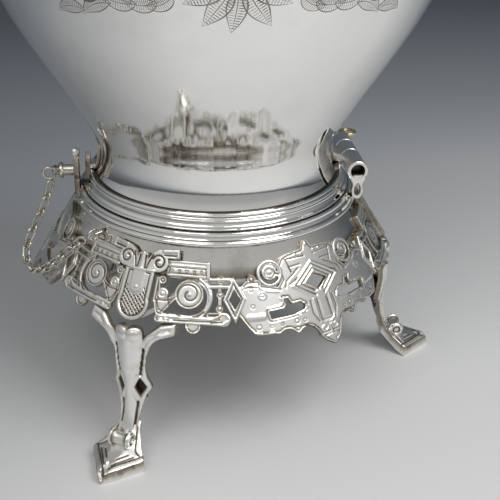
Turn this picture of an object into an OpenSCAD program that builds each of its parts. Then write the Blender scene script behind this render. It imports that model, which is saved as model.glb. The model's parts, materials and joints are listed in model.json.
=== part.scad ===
// Silver spirit kettle on a three-legged stand with a pierced strapwork apron.
// The kettle tilts towards its spout on a hinge over one leg, and a lock pin on the
// far side holds it level. +Z is up, the table is z = 0, the kettle's axis is x = y = 0,
// the spout and the hinge lie towards +X, and the lock pin lies towards -X.

/* [Stand ring] */
// Outer radius of the stand's ring at its lower edge
ring_r = 66; // [62:0.5:70]
// Height of the ring's lower face above the table
ring_z = 94; // [88:1:104]
// Height of the ring
ring_h = 5.6; // [4.6:0.1:8]

/* [Skirt and apron] */
// Radius gained per millimetre of fall of the apron's cone
flare = 0.64; // [0.5:0.02:0.8]
// Thickness of the plain skirt under the ring
skirt_t = 1.2; // [0.8:0.1:1.6]
// Length of the plain skirt down its slope
skirt_len = 13.4; // [10:0.2:15]
// Thickness of the pierced apron
apron_t = 1.8; // [1.2:0.1:2.4]
// Height of the raised bands and bosses on the apron
relief = 0.6; // [0.3:0.1:0.9]
// Thickness of the crest over each leg
crest_t = 1.6; // [1:0.1:2.2]

/* [Legs] */
// Radius of the toe's tip
toe_r = 113; // [104:1:120]
// Half width of the foot
foot_w = 12.7; // [10:0.1:15]
// Height of the toe's upright edge
toe_h = 5; // [3.5:0.1:7]
// Radius of the leg's ridge at its waist
knee_r = 86.5; // [84:0.5:92]
// Thickness of the leg's two faces
leg_t = 2.6; // [2:0.1:3.4]
// Angle that each face turns back from the ridge
face_a = 29; // [22:1:34]

/* [Kettle] */
// Radius of the kettle's waist above its foot
waist_r = 53; // [50:0.5:56]
// Largest radius of the kettle's body
belly_r = 104; // [98:0.5:110]
// Height from the foot's seat to the widest level
belly_h = 116; // [108:1:126]
// Height from the foot's seat to the mouth
mouth_h = 184; // [178:1:194]
// Wall of the body
wall = 1.5; // [1.2:0.1:2.4]
// Radius inside the mouth rim
mouth_r = 43.5; // [38:0.5:46]
// Height of the kettle's moulded foot above its seat
foot_h = 6.4; // [5.4:0.1:8]

/* [Tilt hinge and lock] */
// Radius of the hinge tubes
tube_r = 4.75; // [4.2:0.05:5.4]
// Radius of the hinge pin
hinge_pin_r = 3.1; // [2.4:0.05:3.6]
// Length of the whole hinge along its axis
hinge_len = 42; // [36:1:48]
// Height of the hinge axis above the foot's seat
hinge_up = 8.7; // [8.2:0.1:10]
// Radius of the lock pin
lock_pin_r = 2.6; // [2:0.05:3]
// Length of lock pin that stands clear of the lug
lock_bare = 5; // [4:0.5:7]

/* [Spout] */
// Outer radius of the spout at its root
spout_root_r = 18; // [15:0.5:21]
// Outer radius of the spout at its lip
spout_lip_r = 8.5; // [7:0.5:11]
// Reach of the spout's lip from the kettle's axis
spout_reach = 168; // [160:1:180]
// Height of the spout's lip above the foot's seat
spout_top = 184; // [176:1:196]

/* [Lid] */
// Rise of the lid's dome
dome_h = 19; // [15:0.5:24]
// Wall of the lid
lid_t = 1.4; // [1:0.1:2]
// Height of the lid's knob
knob_h = 25; // [20:0.5:28]

/* [Handle] */
// Distance of each handle pivot inside the belly's widest radius
pivot_in = 27; // [24:0.5:30]
// Height of the grip above the handle's pivots
handle_h = 112; // [110:1:124]
// Thickness of the handle's arms
arm_d = 7; // [6:0.5:9]
// Length of the ivory grip
grip_len = 66; // [56:1:76]
// Radius of the ivory grip at its middle
grip_r = 7.5; // [6:0.5:9]

/* [Spirit lamp] */
// Radius of the lamp's bowl
lamp_r = 26; // [22:0.5:30]
// Depth of the bowl below its carrying ring
lamp_depth = 20; // [16:0.5:22]
// Height of the carrying ring's top above the table
lamp_z = 66; // [60:1:70]

/* [Chain] */
// Thickness of the chain's wire
wire_d = 0.8; // [0.6:0.1:0.9]
// Inside length of a long link
link_in = 4.4; // [4:0.1:5.4]

/* [Hidden] */

// Clearance between soldered pieces of one assembly
seam = 0.1;
// Running clearance of a pin in its bore, on the radius
run = 0.06;
// Clearance of pieces that drop into each other, on the radius
drop_gap = 0.6;
$fn = 48;

silver = [0.86, 0.86, 0.85];
bright = [0.92, 0.92, 0.91];
gilt = [0.83, 0.68, 0.36];
ivory = [0.93, 0.89, 0.78];
cotton = [0.9, 0.88, 0.82];

leg_turns = [240, 120, 0];
pendant_turns = [300, 180, 60];

// The apron's cone: a point is given by its angle and by its distance s down the slope.
slope_len = sqrt(1 + flare * flare);
cone_tilt = atan(flare);
apron_top_r = ring_r - 1;
function cone_r(s) = apron_top_r + s * flare / slope_len;
function cone_z(s) = ring_z - s / slope_len;
function cone_r_at(z) = apron_top_r + (ring_z - z) * flare;
across = slope_len;
apron_in = apron_t * across;
skirt_out = apron_in + seam;
skirt_in = skirt_out + skirt_t * across;

// Levels of the kettle
seat_z = ring_z + ring_h + 0.1;
foot_out_r = ring_r - 4;
neck_r = foot_out_r - 4.4;
spigot_r = neck_r - 0.6;
bore_r = spigot_r + drop_gap;
spigot_d = 3.2;
body_z = seat_z + foot_h + seam;
waist_z = seat_z + 18.2;
belly_z = seat_z + belly_h;
mouth_z = seat_z + mouth_h;
collar_r = mouth_r + 2.2;
base_z = body_z + 3;
pivot_x = belly_r - pivot_in;

// The tilt hinge lies close over the foot's mouldings, on the +X side.
hinge_x = ring_r - 2.5;
hinge_z = seat_z + hinge_up;
mid_lo = -hinge_len / 2 + 17;
mid_hi = mid_lo + 13;
tube_bore_r = hinge_pin_r + run;

// The lock pin lies along X, opposite the hinge.
lock_z = seat_z + 4.6;
lug_t = 2.6;
lug_x = ring_r - 1.6;
lug_top = lock_z + 7;
blade_t = 2.4;
blade_x = lug_x - lug_t - 2.2;

// Smooth curve through hand-chosen points
function cr(a, b, c, d, t) = 0.5 * ((2 * b) + (c - a) * t + (2 * a - 5 * b + 4 * c - d) * t * t
    + (3 * b - a - 3 * c + d) * t * t * t);
function smooth(p, n) = [for (i = [0 : len(p) - 2]) for (k = [0 : n - 1])
    cr(p[max(i - 1, 0)], p[i], p[i + 1], p[min(i + 2, len(p) - 1)], k / n), p[len(p) - 1]];
function bez(a, b, c, d, t) = a * pow(1 - t, 3) + 3 * b * t * pow(1 - t, 2)
    + 3 * c * t * t * (1 - t) + d * pow(t, 3);
function unit(v) = v / norm(v);
function rev(p) = [for (i = [len(p) - 1 : -1 : 0]) p[i]];

// Conical shell between two offsets from the apron's outer cone
module cone_shell(out, inside, s0, s1) {
    rotate_extrude($fn = 96)
        polygon([[cone_r(s0) + out, cone_z(s0)], [cone_r(s1) + out, cone_z(s1)],
            [cone_r(s1) - inside, cone_z(s1)], [cone_r(s0) - inside, cone_z(s0)]]);
}

// Drawing plane that touches the apron's cone at angle a; x runs to the right, y up the slope
module on_cone(a, depth = 8) {
    rotate([0, 0, a])
        translate([cone_r(0), 0, cone_z(0)])
            rotate([90 - cone_tilt, 0, 90])
                translate([0, 0, -depth / 2])
                    linear_extrude(depth)
                        children();
}

// Point of a drawing about angle ref, from its angle and its distance down the slope
function at(a, s, ref) = [cone_r(s) * sin(a - ref), -s];
module dot(a, s, r, ref) {
    translate(at(a, s, ref))
        circle(r, $fn = 24);
}
module bar(a0, a1, s, w, ref) {
    polygon([at(a0, s - w / 2, ref), at(a0, s + w / 2, ref), at(a1, s + w / 2, ref),
        at(a1, s - w / 2, ref)]);
    dot(a0, s, w / 2, ref);
    dot(a1, s, w / 2, ref);
}
module plate(points, ref) {
    polygon([for (p = points) at(p[0], p[1], ref)]);
}

// Stand ring: turned band with a bead at its foot and a bore that takes the kettle's foot
module stand_ring() {
    color(bright)
        rotate_extrude($fn = 96)
            difference() {
                polygon([[bore_r, ring_z], [ring_r - 1.2, ring_z], [ring_r - 0.3, ring_z + 0.6],
                    [ring_r, ring_z + 1.2], [ring_r - 0.4, ring_z + 1.9],
                    [ring_r - 1.3, ring_z + 2.2], [ring_r - 1.4, ring_z + 2.7],
                    [ring_r - 2.6, ring_z + ring_h - 1.2], [ring_r - 3.2, ring_z + ring_h],
                    [bore_r, ring_z + ring_h]]);
                translate([bore_r + 3.4, ring_z])
                    circle(1.4, $fn = 24);
            }
}

// Plain cone below the ring, which carries the apron
module stand_skirt() {
    color(bright)
        difference() {
            cone_shell(-skirt_out, skirt_in, 0.1, skirt_len);
            rotate([0, 0, 217])
                translate([cone_r(0) - 12, 0, ring_z - 3.2])
                    rotate([0, 90, 0])
                        cylinder(r = 1.3 + run, h = 24, $fn = 24);
        }
}

// Scroll strap, hook and bars beside a leg; angles run from the leg's axis
module scroll_group(ref) {
    plate([[5.9, 14], [6.7, 14], [7.6, 17.6], [9.3, 18.6], [11, 19.8], [13.4, 19.8], [12.8, 24],
        [11.8, 27.2], [13, 29.4], [7.2, 29.8], [6.4, 27.4], [5.9, 24]], ref);
    difference() {
        dot(17.5, 21.4, 8.5, ref);
        dot(17.6, 21.5, 6.1, ref);
    }
    dot(16.9, 20.7, 5.0, ref);
    translate(at(16.9, 20.7, ref) + [-5.6, -0.8])
        square([2.4, 2.4]);
    bar(8.5, 28.3, 31, 3.4, ref);
    bar(23.6, 27.4, 28.2, 2.4, ref);
    dot(27.9, 29.9, 2.9, ref);
    dot(19.2, 32.9, 3.2, ref);
    plate([[9, 6.3], [23, 6.3], [23, 13.2], [9, 13.2]], ref);
    bar(22.9, 23.2, 9.6, 7.2, ref);
    plate([[20, 12.8], [31, 12.8], [31, 14.3], [20, 14.3]], ref);
    plate([[21.6, 15.6], [31, 15.9], [31, 17.3], [21.6, 17.2]], ref);
    plate([[26.2, 16.8], [27.4, 16.8], [27.4, 29], [26.2, 29]], ref);
    dot(26.9, 19.6, 1.5, ref);
    dot(26.7, 25.4, 1.6, ref);
}

// Lozenge and the plates that join it to its neighbours
module lozenge_group(ref) {
    polygon([[0, -12.1], [4.7, -22.1], [0, -32.1], [-4.7, -22.1]]);
    dot(27.2, 13.6, 1.7, ref);
    dot(37.4, 13.9, 1.8, ref);
    plate([[35, 14.6], [40, 14.6], [40, 18], [32.6, 18]], ref);
}

// Studded plate, slot, lower bar and volute between the lozenge and the pendant
module slot_group(ref) {
    difference() {
        plate([[31.9, 16.6], [40.6, 16.6], [46.4, 18.8], [56, 22], [56, 37.4], [54.6, 39.6],
            [37.6, 37.4], [34, 31.8], [32.4, 28.4]], ref);
        plate([[41.6, 28.2], [46.6, 27.9], [47.3, 26.6], [47, 23.4], [48.5, 23.8], [49.3, 26.6],
            [52.3, 26.5], [53.7, 28], [53.2, 29.8], [49, 31], [42, 31.4]], ref);
        dot(46.3, 41.3, 4.8, ref);
        dot(52.6, 42.4, 5.2, ref);
    }
    bar(35.4, 39.9, 29.8, 5.2, ref);
    bar(37.7, 44, 34.9, 5.4, ref);
    difference() {
        dot(43.8, 12.3, 5.7, ref);
        dot(43.7, 12.8, 4.1, ref);
    }
    dot(43.7, 12.0, 3.4, ref);
    plate([[45.5, 9], [48.6, 7], [52, 5.6], [56, 5.6], [56, 13], [52, 18.5], [56, 24], [47, 24],
        [45.2, 18.4]], ref);
}

// Pendant: square frame set on its corner, tail and drop
module pendant_group() {
    difference() {
        union() {
            polygon([[-12.6, -19.8], [0, -10.4], [12.6, -19.8], [0, -29.4]]);
            polygon([[-11, -5.6], [-4, -5.0], [-1.7, -1.8], [1.7, -1.8], [4, -5.0], [11, -5.6],
                [11, -15], [7, -19], [-7, -19], [-11, -15]]);
            polygon([[-8.6, -23], [8.6, -23], [8.6, -38], [6.9, -40], [5.6, -43], [-5.6, -43],
                [-6.9, -40], [-8.6, -38]]);
            polygon([[-6.4, -42.6], [6.4, -42.6], [3.6, -45.4], [0, -48], [-3.6, -45.4]]);
        }
        polygon([[-5.6, -19.8], [0, -16.4], [5.6, -19.8], [0, -23.3]]);
    }
}

// Raised bands and bosses of one half of an apron section
module half_relief(side) {
    on_cone(side * 18)
        mirror([side < 0 ? 1 : 0, 0, 0]) {
            for (s = [7.4, 9.8, 12.1])
                plate([[9.6, s - 0.6], [22.4, s - 0.6], [22.4, s + 0.6], [9.6, s + 0.6]], 18);
            bar(14.5, 24, 31.3, 1.1, 18);
            dot(17.2, 21, 1.7, 18);
            dot(8.6, 20.6, 1.6, 18);
            dot(10.4, 30.6, 1.0, 18);
        }
    on_cone(side * 31.3)
        difference() {
            polygon([[0, -12.3], [4.6, -22.1], [0, -31.9], [-4.6, -22.1]]);
            polygon([[0, -15.6], [3, -22.1], [0, -28.6], [-3, -22.1]]);
        }
    on_cone(side * 42)
        mirror([side < 0 ? 1 : 0, 0, 0]) {
            for (b = [[36.8, 18.4, 0.9], [40.2, 21, 1.5], [36.8, 25.3, 0.9], [38.2, 34.6, 1.3],
                [41.8, 34.9, 0.9], [43.7, 12, 1.6]])
                dot(b[0], b[1], b[2], 42);
            bar(35.6, 39.6, 29.8, 2.6, 42);
        }
}

module pendant_relief() {
    difference() {
        polygon([[-11.9, -19.8], [0, -10.9], [11.9, -19.8], [0, -28.9]]);
        polygon([[-9.3, -19.8], [0, -12.8], [9.3, -19.8], [0, -26.9]]);
    }
    difference() {
        polygon([[-8, -19.8], [0, -14], [8, -19.8], [0, -25.6]]);
        polygon([[-5.5, -19.8], [0, -16.3], [5.5, -19.8], [0, -23.4]]);
    }
    translate([-2.4, -36])
        square([4.8, 11.6]);
    for (side = [-1, 1])
        translate([side * 2.9, -39.4])
            circle(1.9, $fn = 24);
}

// One third of the pierced apron, between two legs, drawn about its pendant
module apron_part(turn) {
    color(silver)
        rotate([0, 0, turn]) {
            intersection() {
                cone_shell(0, apron_in, 1.2, 49);
                union() {
                    for (side = [-1, 1])
                        rotate([0, 0, -side * 60]) {
                            on_cone(side * 18)
                                mirror([side < 0 ? 1 : 0, 0, 0])
                                    scroll_group(18);
                            on_cone(side * 31.3)
                                mirror([side < 0 ? 1 : 0, 0, 0])
                                    lozenge_group(31.3);
                            on_cone(side * 42)
                                mirror([side < 0 ? 1 : 0, 0, 0])
                                    slot_group(42);
                        }
                    on_cone(0)
                        pendant_group();
                }
            }
            intersection() {
                cone_shell(relief * across, 0.4, 1.2, 49);
                union() {
                    for (side = [-1, 1])
                        rotate([0, 0, -side * 60])
                            half_relief(side);
                    on_cone(0)
                        pendant_relief();
                }
            }
        }
}
module apron_front() { apron_part(pendant_turns[0]); }
module apron_lock() { apron_part(pendant_turns[1]); }
module apron_back() { apron_part(pendant_turns[2]); }

// Crest over a leg: shield with a scale field and tongue, under a pair of volutes
module crest_drawing() {
    translate([-7.3, -26.7])
        square([14.6, 14]);
    translate([0, -26.7])
        circle(7.3, $fn = 48);
    for (side = [-1, 1])
        mirror([side < 0 ? 1 : 0, 0, 0]) {
            dot(6.1, 8.3, 4.1, 0);
            plate([[1.2, 9], [3.4, 4.6], [5.4, 3], [12.9, 1.8], [13.2, 6], [9, 6.1], [6, 12.4],
                [1.2, 12.9]], 0);
        }
    polygon([[-2, -5.6], [0, -4.4], [2, -5.6], [3, -13.5], [-3, -13.5]]);
}
module crest_relief() {
    difference() {
        union() {
            translate([-7.2, -26.7])
                square([14.4, 13.6]);
            translate([0, -26.7])
                circle(7.2, $fn = 48);
        }
        translate([-6, -26.7])
            square([12, 15]);
        translate([0, -26.7])
            circle(6, $fn = 48);
    }
    translate([-3.2, -23])
        square([6.4, 9.6]);
    translate([0, -23])
        circle(3.2, $fn = 24);
    for (side = [-1, 1])
        mirror([side < 0 ? 1 : 0, 0, 0])
            dot(6.3, 8.6, 1.7, 0);
    for (row = [0 : 3])
        for (k = [-2 : 2])
            translate([k * 2.1 + (row % 2) * 1.05, -27.6 - row * 1.4])
                if (abs(k * 2.1 + (row % 2) * 1.05) < 4.6 - row * 0.9) circle(0.62, $fn = 4);
}
module crest(turn) {
    color(silver)
        rotate([0, 0, turn]) {
            intersection() {
                cone_shell(crest_t * across + seam, -seam, 1.2, 36);
                on_cone(0)
                    crest_drawing();
            }
            intersection() {
                cone_shell((crest_t + relief) * across + seam, -crest_t * across, 1.2, 36);
                on_cone(0)
                    crest_relief();
            }
        }
}
module crest_front() { crest(leg_turns[0]); }
module crest_back() { crest(leg_turns[1]); }
module crest_hinge() { crest(leg_turns[2]); }

// Leg: two flat faces that meet in a ridge, branches to the apron's rim, and a foot
leg_top = cone_z(33.2);
leg_k = leg_top / 66;
ridge = smooth([[cone_r_at(leg_top) + 3.2, leg_top + 2], [cone_r_at(leg_top) + 3.4, 56 * leg_k],
    [knee_r + 0.8, 44 * leg_k], [knee_r, 33 * leg_k], [knee_r + 1.2, 21 * leg_k],
    [knee_r + 5, 12 * leg_k], [knee_r + 9, 7 * leg_k]], 4);
leg_edge = smooth([[5.2, 63], [6.9, 60.5], [8.6, 55], [7.6, 49], [7.2, 43], [7.4, 38.4],
    [9.2, 33.2], [6.9, 29.4], [5.4, 24], [4.5, 18], [4.6, 13], [6, 7]], 3);
branch = concat(smooth([[4.6, 55], [7.6, 59.4], [12.4, 64.8]], 4), [[19.8, 65], [20.2, 62]],
    smooth([[20.2, 62], [14.4, 58.8], [10.2, 54], [8, 47.5]], 4));
module leg_face() {
    reach = cos(face_a);
    rotate([0, 0, face_a])
        rotate([90, 0, 0])
            linear_extrude(220, center = true)
                polygon(concat([for (p = ridge) [p[0] * reach, p[1]]],
                    rev([for (p = ridge) [p[0] * reach - leg_t, p[1]]])));
}
module leg_outline() {
    difference() {
        polygon(concat([[0, 62.2], [1.4, 63.6], [3.4, 64]], leg_edge, [[0, 7]]) * leg_k);
        translate([4.5, 33.4] * leg_k)
            polygon([[0, -4.6], [2.1, 0], [0, 4.6], [-2.1, 0]]);
    }
}
module radial_prism() {
    translate([60, 0, 0])
        rotate([90, 0, 90])
            linear_extrude(60)
                children();
}
module leg_part(turn) {
    color(bright)
        rotate([0, 0, turn]) {
            for (side = [0, 1])
                mirror([0, side, 0]) {
                    intersection() {
                        leg_face();
                        radial_prism()
                            leg_outline();
                    }
                    intersection() {
                        cone_shell(0.3, leg_t, 30, 60);
                        radial_prism()
                            polygon(branch * leg_k);
                    }
                }
            intersection() {
                cone_shell(-apron_in - seam, apron_in + seam + 3, 18, 46);
                radial_prism()
                    translate([-5, 54 * leg_k])
                        square([10, 30]);
            }
            foot_block();
        }
}
module foot_block() {
    difference() {
        intersection() {
            linear_extrude(24 * leg_k)
                polygon([[toe_r, 0], [toe_r - 15.5, foot_w], [knee_r + 4.6, 7.6],
                    [knee_r - 0.6, 4.4], [knee_r - 0.6, -4.4], [knee_r + 4.6, -7.6],
                    [toe_r - 15.5, -foot_w]]);
            rotate([90, 0, 0])
                linear_extrude(4 * foot_w, center = true)
                    polygon(concat([[knee_r - 1, 10], [knee_r - 1, 20 * leg_k]],
                        smooth([[knee_r + 0.4, 20 * leg_k], [knee_r + 3.2, 13.6 * leg_k],
                            [knee_r + 9, toe_h + 3.8], [toe_r - 9, toe_h + 1.4],
                            [toe_r + 0.1, toe_h]], 3),
                        [[toe_r + 0.1, 0], [knee_r + 3, 0], [knee_r + 0.6, 3]]));
        }
        for (side = [-1, 1])
            translate([toe_r - 7.6, side * (foot_w / 2 - 0.1), -1])
                rotate([0, 0, side * 39])
                    cylinder(r = 1.5, h = 3 + toe_h * 2, $fn = 4);
    }
    translate([knee_r + 7.4, 0, toe_h + 5.4])
        rotate([90, 0, 0])
            cylinder(r = 3.2, h = 10, center = true);
}
module leg_front() { leg_part(leg_turns[0]); }
module leg_back() { leg_part(leg_turns[1]); }
module leg_hinge() { leg_part(leg_turns[2]); }

// Upright lug on the stand's ring that the lock pin slides in, with a ball on top
module stand_lock_lug() {
    color(silver) {
        difference() {
            translate([-lug_x - lug_t + 0.6, 0, 0])
                rotate([90, 0, 90])
                    linear_extrude(lug_t)
                        polygon(concat([[-4.8, ring_z + 1], [-4.4, ring_z + ring_h],
                            [-3.6, lock_z - 2.4]],
                            smooth([[-4.4, lock_z], [-3.8, lock_z + 3], [-1.6, lug_top],
                                [1.6, lug_top], [3.8, lock_z + 3], [4.4, lock_z]], 4),
                            [[3.6, lock_z - 2.4], [4.4, ring_z + ring_h], [4.8, ring_z + 1]]));
            ring_shadow(seam);
            translate([-lug_x - 10, 0, lock_z])
                rotate([0, 90, 0])
                    cylinder(r = lock_pin_r + run, h = 20);
        }
        translate([-lug_x - lug_t / 2 + 0.6, 0, lug_top + 1.8])
            sphere(2.4, $fn = 32);
    }
}

// Hinge tubes of the stand, each with a pierced teardrop bracket down to the ring
module hinge_tube(y0, y1) {
    translate([hinge_x, y1, hinge_z])
        rotate([90, 0, 0])
            cylinder(r = tube_r, h = y1 - y0);
}
module hinge_bore(y0, y1) {
    translate([hinge_x, y1 + 1, hinge_z])
        rotate([90, 0, 0])
            cylinder(r = tube_bore_r, h = y1 - y0 + 2);
}
module stand_tube(y0, y1, y_bracket) {
    ring_top = ring_z + ring_h + seam;
    difference() {
        union() {
            hinge_tube(y0, y1);
            translate([0, y_bracket + 1.6, 0])
                rotate([90, 0, 0])
                    linear_extrude(3.2)
                        difference() {
                            polygon([[hinge_x - 0.6, hinge_z - tube_r + 1],
                                [hinge_x + 3.6, hinge_z - tube_r + 1.4],
                                [ring_r - 0.6, ring_top - 3.2], [ring_r - 2.6, ring_top - 5.2],
                                [ring_r - 8.8, ring_top - 5.2], [ring_r - 8.8, ring_top - 1]]);
                            translate([ring_r - 2.6, ring_top - 0.6])
                                circle(1.1, $fn = 24);
                        }
        }
        hinge_bore(y0, y1);
        ring_shadow(seam);
        foot_shadow(0.5);
    }
}
module stand_tube_near() {
    color(silver)
        stand_tube(-hinge_len / 2, mid_lo - seam, -hinge_len / 2 + 5);
}
module stand_tube_far() {
    color(silver)
        stand_tube(mid_hi + seam, hinge_len / 2, hinge_len / 2 - 5);
}

// Eye on the skirt that the lock pin's chain hangs from
eye_turn = 217;
eye_z = ring_z - 3.2;
eye_r = cone_r_at(eye_z) + 2.6;
module chain_eye() {
    color(silver)
        rotate([0, 0, eye_turn]) {
            translate([cone_r(0) - skirt_in - 1, 0, eye_z])
                rotate([0, 90, 0])
                    cylinder(r = 1.3, h = eye_r - cone_r(0) + skirt_in - 0.3, $fn = 24);
            translate([eye_r + 1, 0, eye_z])
                rotate([90, 0, 0])
                    rotate_extrude($fn = 32)
                        translate([2.3, 0])
                            circle(0.6, $fn = 24);
        }
}

// Chain from the lock pin to the eye; its route hangs clear of the apron
// Each point is given by its distance outside the apron's cone, its y and its height over the ring
chain_route = [[14.9, 0, 3.6], [13.2, -1, -2], [11.7, -3, -10], [11.1, -7, -19], [9, -13, -26.5], [5.6,
    -21, -29.5], [3.9, -27.6, -27], [4.2, -33, -21.4], [4.8, -37.4, -15], [4.8, -40, -8.4],
    [4.6, -41.6, -4.6]];
chain_points = [for (p = chain_route) let (r = cone_r_at(ring_z + p[2]) + p[0])
    [-sqrt(r * r - p[1] * p[1]), p[1], ring_z + p[2]]];
chain_path = smooth(chain_points, 8);
function run_to(p, i) = i == 0 ? 0 : run_to(p, i - 1) + norm(p[i] - p[i - 1]);
chain_at = [for (i = [0 : len(chain_path) - 1]) run_to(chain_path, i)];
function along(s) = let (i = min(len(chain_path) - 2, len([for (d = chain_at) if (d <= s) 1]) - 1),
    t = (s - chain_at[i]) / (chain_at[i + 1] - chain_at[i]))
    chain_path[i] * (1 - t) + chain_path[i + 1] * t;
small_in = 2 * wire_d + 0.5;
link_step = (link_in + small_in) / 2 - 0.2;
links = floor(chain_at[len(chain_at) - 1] / link_step);
pin_links = 7;
module oval_link(inside) {
    half = inside / 2 - 0.9;
    for (end = [0, 1])
        rotate([0, 0, 180 * end])
            translate([half, 0, 0])
                rotate([0, 0, -90])
                    rotate_extrude(angle = 180, $fn = 32)
                        translate([0.9 + wire_d / 2, 0])
                            circle(d = wire_d, $fn = 24);
    for (side = [-1, 1])
        translate([-half, side * (0.9 + wire_d / 2), 0])
            rotate([0, 90, 0])
                cylinder(d = wire_d, h = 2 * half, $fn = 24);
}
module round_link() {
    rotate_extrude($fn = 24)
        translate([small_in / 2 + wire_d / 2, 0])
            circle(d = wire_d, $fn = 24);
}
// Links lie along the route, and each second one is turned a quarter about it
module chain_links(first, last) {
    for (k = [first : last]) {
        here = along((k + 0.5) * link_step);
        ahead = unit(along((k + 0.9) * link_step) - along((k + 0.1) * link_step));
        side = unit(cross([here[0], here[1], 0], ahead));
        up = cross(ahead, side);
        multmatrix([[ahead[0], side[0], up[0], here[0]], [ahead[1], side[1], up[1], here[1]],
            [ahead[2], side[2], up[2], here[2]], [0, 0, 0, 1]])
            rotate([45 + 90 * (k % 2), 0, 0])
                if (k % 2 == 0) oval_link(link_in);
                else round_link();
    }
}
module chain_pin_side() {
    color(silver)
        chain_links(0, pin_links - 1);
}
module chain_stand_side() {
    color(silver)
        chain_links(pin_links, links - 1);
}

// Ring and arms that carry the spirit lamp
lamp_ring_h = 4;
lamp_ring_out = lamp_r + 3.4;
module lamp_ring() {
    color(bright)
        rotate_extrude($fn = 96)
            translate([lamp_r + drop_gap, lamp_z - lamp_ring_h])
                square([lamp_ring_out - lamp_r - drop_gap, lamp_ring_h]);
}
module lamp_arm(turn) {
    reach = cone_r_at(lamp_z + 1) - apron_in - 2 * seam - 3;
    color(bright)
        rotate([0, 0, turn])
            intersection() {
                rotate([90, 0, 0])
                    linear_extrude(6, center = true)
                        polygon(concat(
                            smooth([[lamp_ring_out - 3, lamp_z - 1], [lamp_ring_out + 9, lamp_z - 4],
                                [reach - 14, lamp_z - 3], [reach + 6, lamp_z + 2]], 4),
                            rev(smooth([[lamp_ring_out - 3, lamp_z - 3.4],
                                [lamp_ring_out + 9, lamp_z - 6.4], [reach - 14, lamp_z - 5.4],
                                [reach + 6, lamp_z - 0.4]], 4))));
                rotate_extrude($fn = 96)
                    polygon([[lamp_ring_out + seam, 0], [reach + (lamp_z + 1) * flare, 0],
                        [reach - 20 * flare, lamp_z + 21], [lamp_ring_out + seam, lamp_z + 21]]);
            }
}
module lamp_arm_front() { lamp_arm(leg_turns[0]); }
module lamp_arm_back() { lamp_arm(leg_turns[1]); }
module lamp_arm_hinge() { lamp_arm(leg_turns[2]); }

// Kettle body: raised shell from its neck to the collar of its mouth
body_line = smooth([[neck_r - 0.2, body_z], [waist_r + 1.6, body_z + 5], [waist_r, waist_z],
    [waist_r + 4.6, waist_z + 5.4], [waist_r + 15, waist_z + 20], [belly_r * 0.77, seat_z + belly_h * 0.5],
    [belly_r * 0.902, seat_z + belly_h * 0.702], [belly_r * 0.974, seat_z + belly_h * 0.845],
    [belly_r, belly_z], [belly_r * 0.974, belly_z + 19], [belly_r * 0.87, belly_z + 36],
    [belly_r * 0.7, belly_z + 50], [collar_r + 10, mouth_z - 10], [collar_r + 2.6, mouth_z - 6],
    [collar_r, mouth_z - 3]], 3);
function inward(p, i) = let (a = p[max(i - 1, 0)], b = p[min(i + 1, len(p) - 1)],
    d = unit(b - a)) p[i] + wall * [-d[1], d[0]];
body_inner = [for (i = [0 : len(body_line) - 1]) inward(body_line, i)];
inner_up = [for (p = body_inner) if (p[1] > base_z + wall + 0.2) p];
module body_solid() {
    rotate_extrude($fn = 96)
        polygon(concat([[0, body_z]], body_line, [[collar_r, mouth_z], [0, mouth_z]]));
}
module kettle_body() {
    color(bright)
        difference() {
            rotate_extrude($fn = 96)
                polygon(concat(body_line, [[collar_r, mouth_z], [collar_r - wall, mouth_z]],
                    rev(inner_up), [[waist_r - 2, base_z + wall], [0, base_z + wall + 1.4],
                        [0, base_z + 1.4], [waist_r - 1.6, base_z], [neck_r - 1.9, body_z]]));
            spout_port();
        }
}

// Moulded foot that drops into the stand's ring
module kettle_foot() {
    color(bright)
        rotate_extrude($fn = 96)
            difference() {
                polygon([[spigot_r - 2, seat_z - spigot_d], [spigot_r - 0.6, seat_z - spigot_d],
                    [spigot_r, seat_z - spigot_d + 0.8], [spigot_r, seat_z],
                    [foot_out_r, seat_z], [foot_out_r, seat_z + 1], [neck_r + 2.2, seat_z + 2.6],
                    [neck_r + 1.6, seat_z + 3.4], [neck_r + 1.7, seat_z + foot_h - 2.2],
                    [neck_r + 1.5, seat_z + foot_h - 1], [neck_r + 0.4, seat_z + foot_h],
                    [spigot_r - 2, seat_z + foot_h]]);
                translate([neck_r + 3.9, seat_z + 3.2])
                    circle(1.9, $fn = 32);
            }
}

// Middle tube of the hinge, with its arm to the kettle's foot
module kettle_tube() {
    color(silver)
        difference() {
            union() {
                hinge_tube(mid_lo, mid_hi);
                translate([0, (mid_lo + mid_hi) / 2 + 5, 0])
                    rotate([90, 0, 0])
                        linear_extrude(10)
                            polygon([[neck_r - 3, seat_z + foot_h + 0.6],
                                [hinge_x, hinge_z - 2.6], [hinge_x, hinge_z + 2.6],
                                [neck_r - 2, hinge_z + 3.4], [waist_r + 1, hinge_z + 2]]);
            }
            hinge_bore(mid_lo, mid_hi);
            body_shadow(seam);
            foot_shadow(seam);
        }
}
// Body's outer form grown by a gap, for pieces that are trimmed to it
module body_shadow(gap) {
    rotate_extrude($fn = 96)
        polygon(concat([[0, body_z - 0.1]], [for (p = body_line) p + [gap, 0]],
            [[collar_r + gap, mouth_z + 40], [0, mouth_z + 40]]));
}

// Foot's outer form grown by a gap, without its hollow moulding
module foot_shadow(gap) {
    rotate_extrude($fn = 96)
        polygon([[0, seat_z - 5], [foot_out_r + gap, seat_z - 5],
            [foot_out_r + gap, seat_z + 1 + gap], [neck_r + 2.2 + gap, seat_z + 2.6 + gap],
            [neck_r + 1.7 + gap, seat_z + 3.6], [neck_r + 1.7 + gap, seat_z + foot_h - 1 + gap],
            [neck_r + 0.4 + gap, seat_z + foot_h + gap], [0, seat_z + foot_h + gap]]);
}
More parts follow.
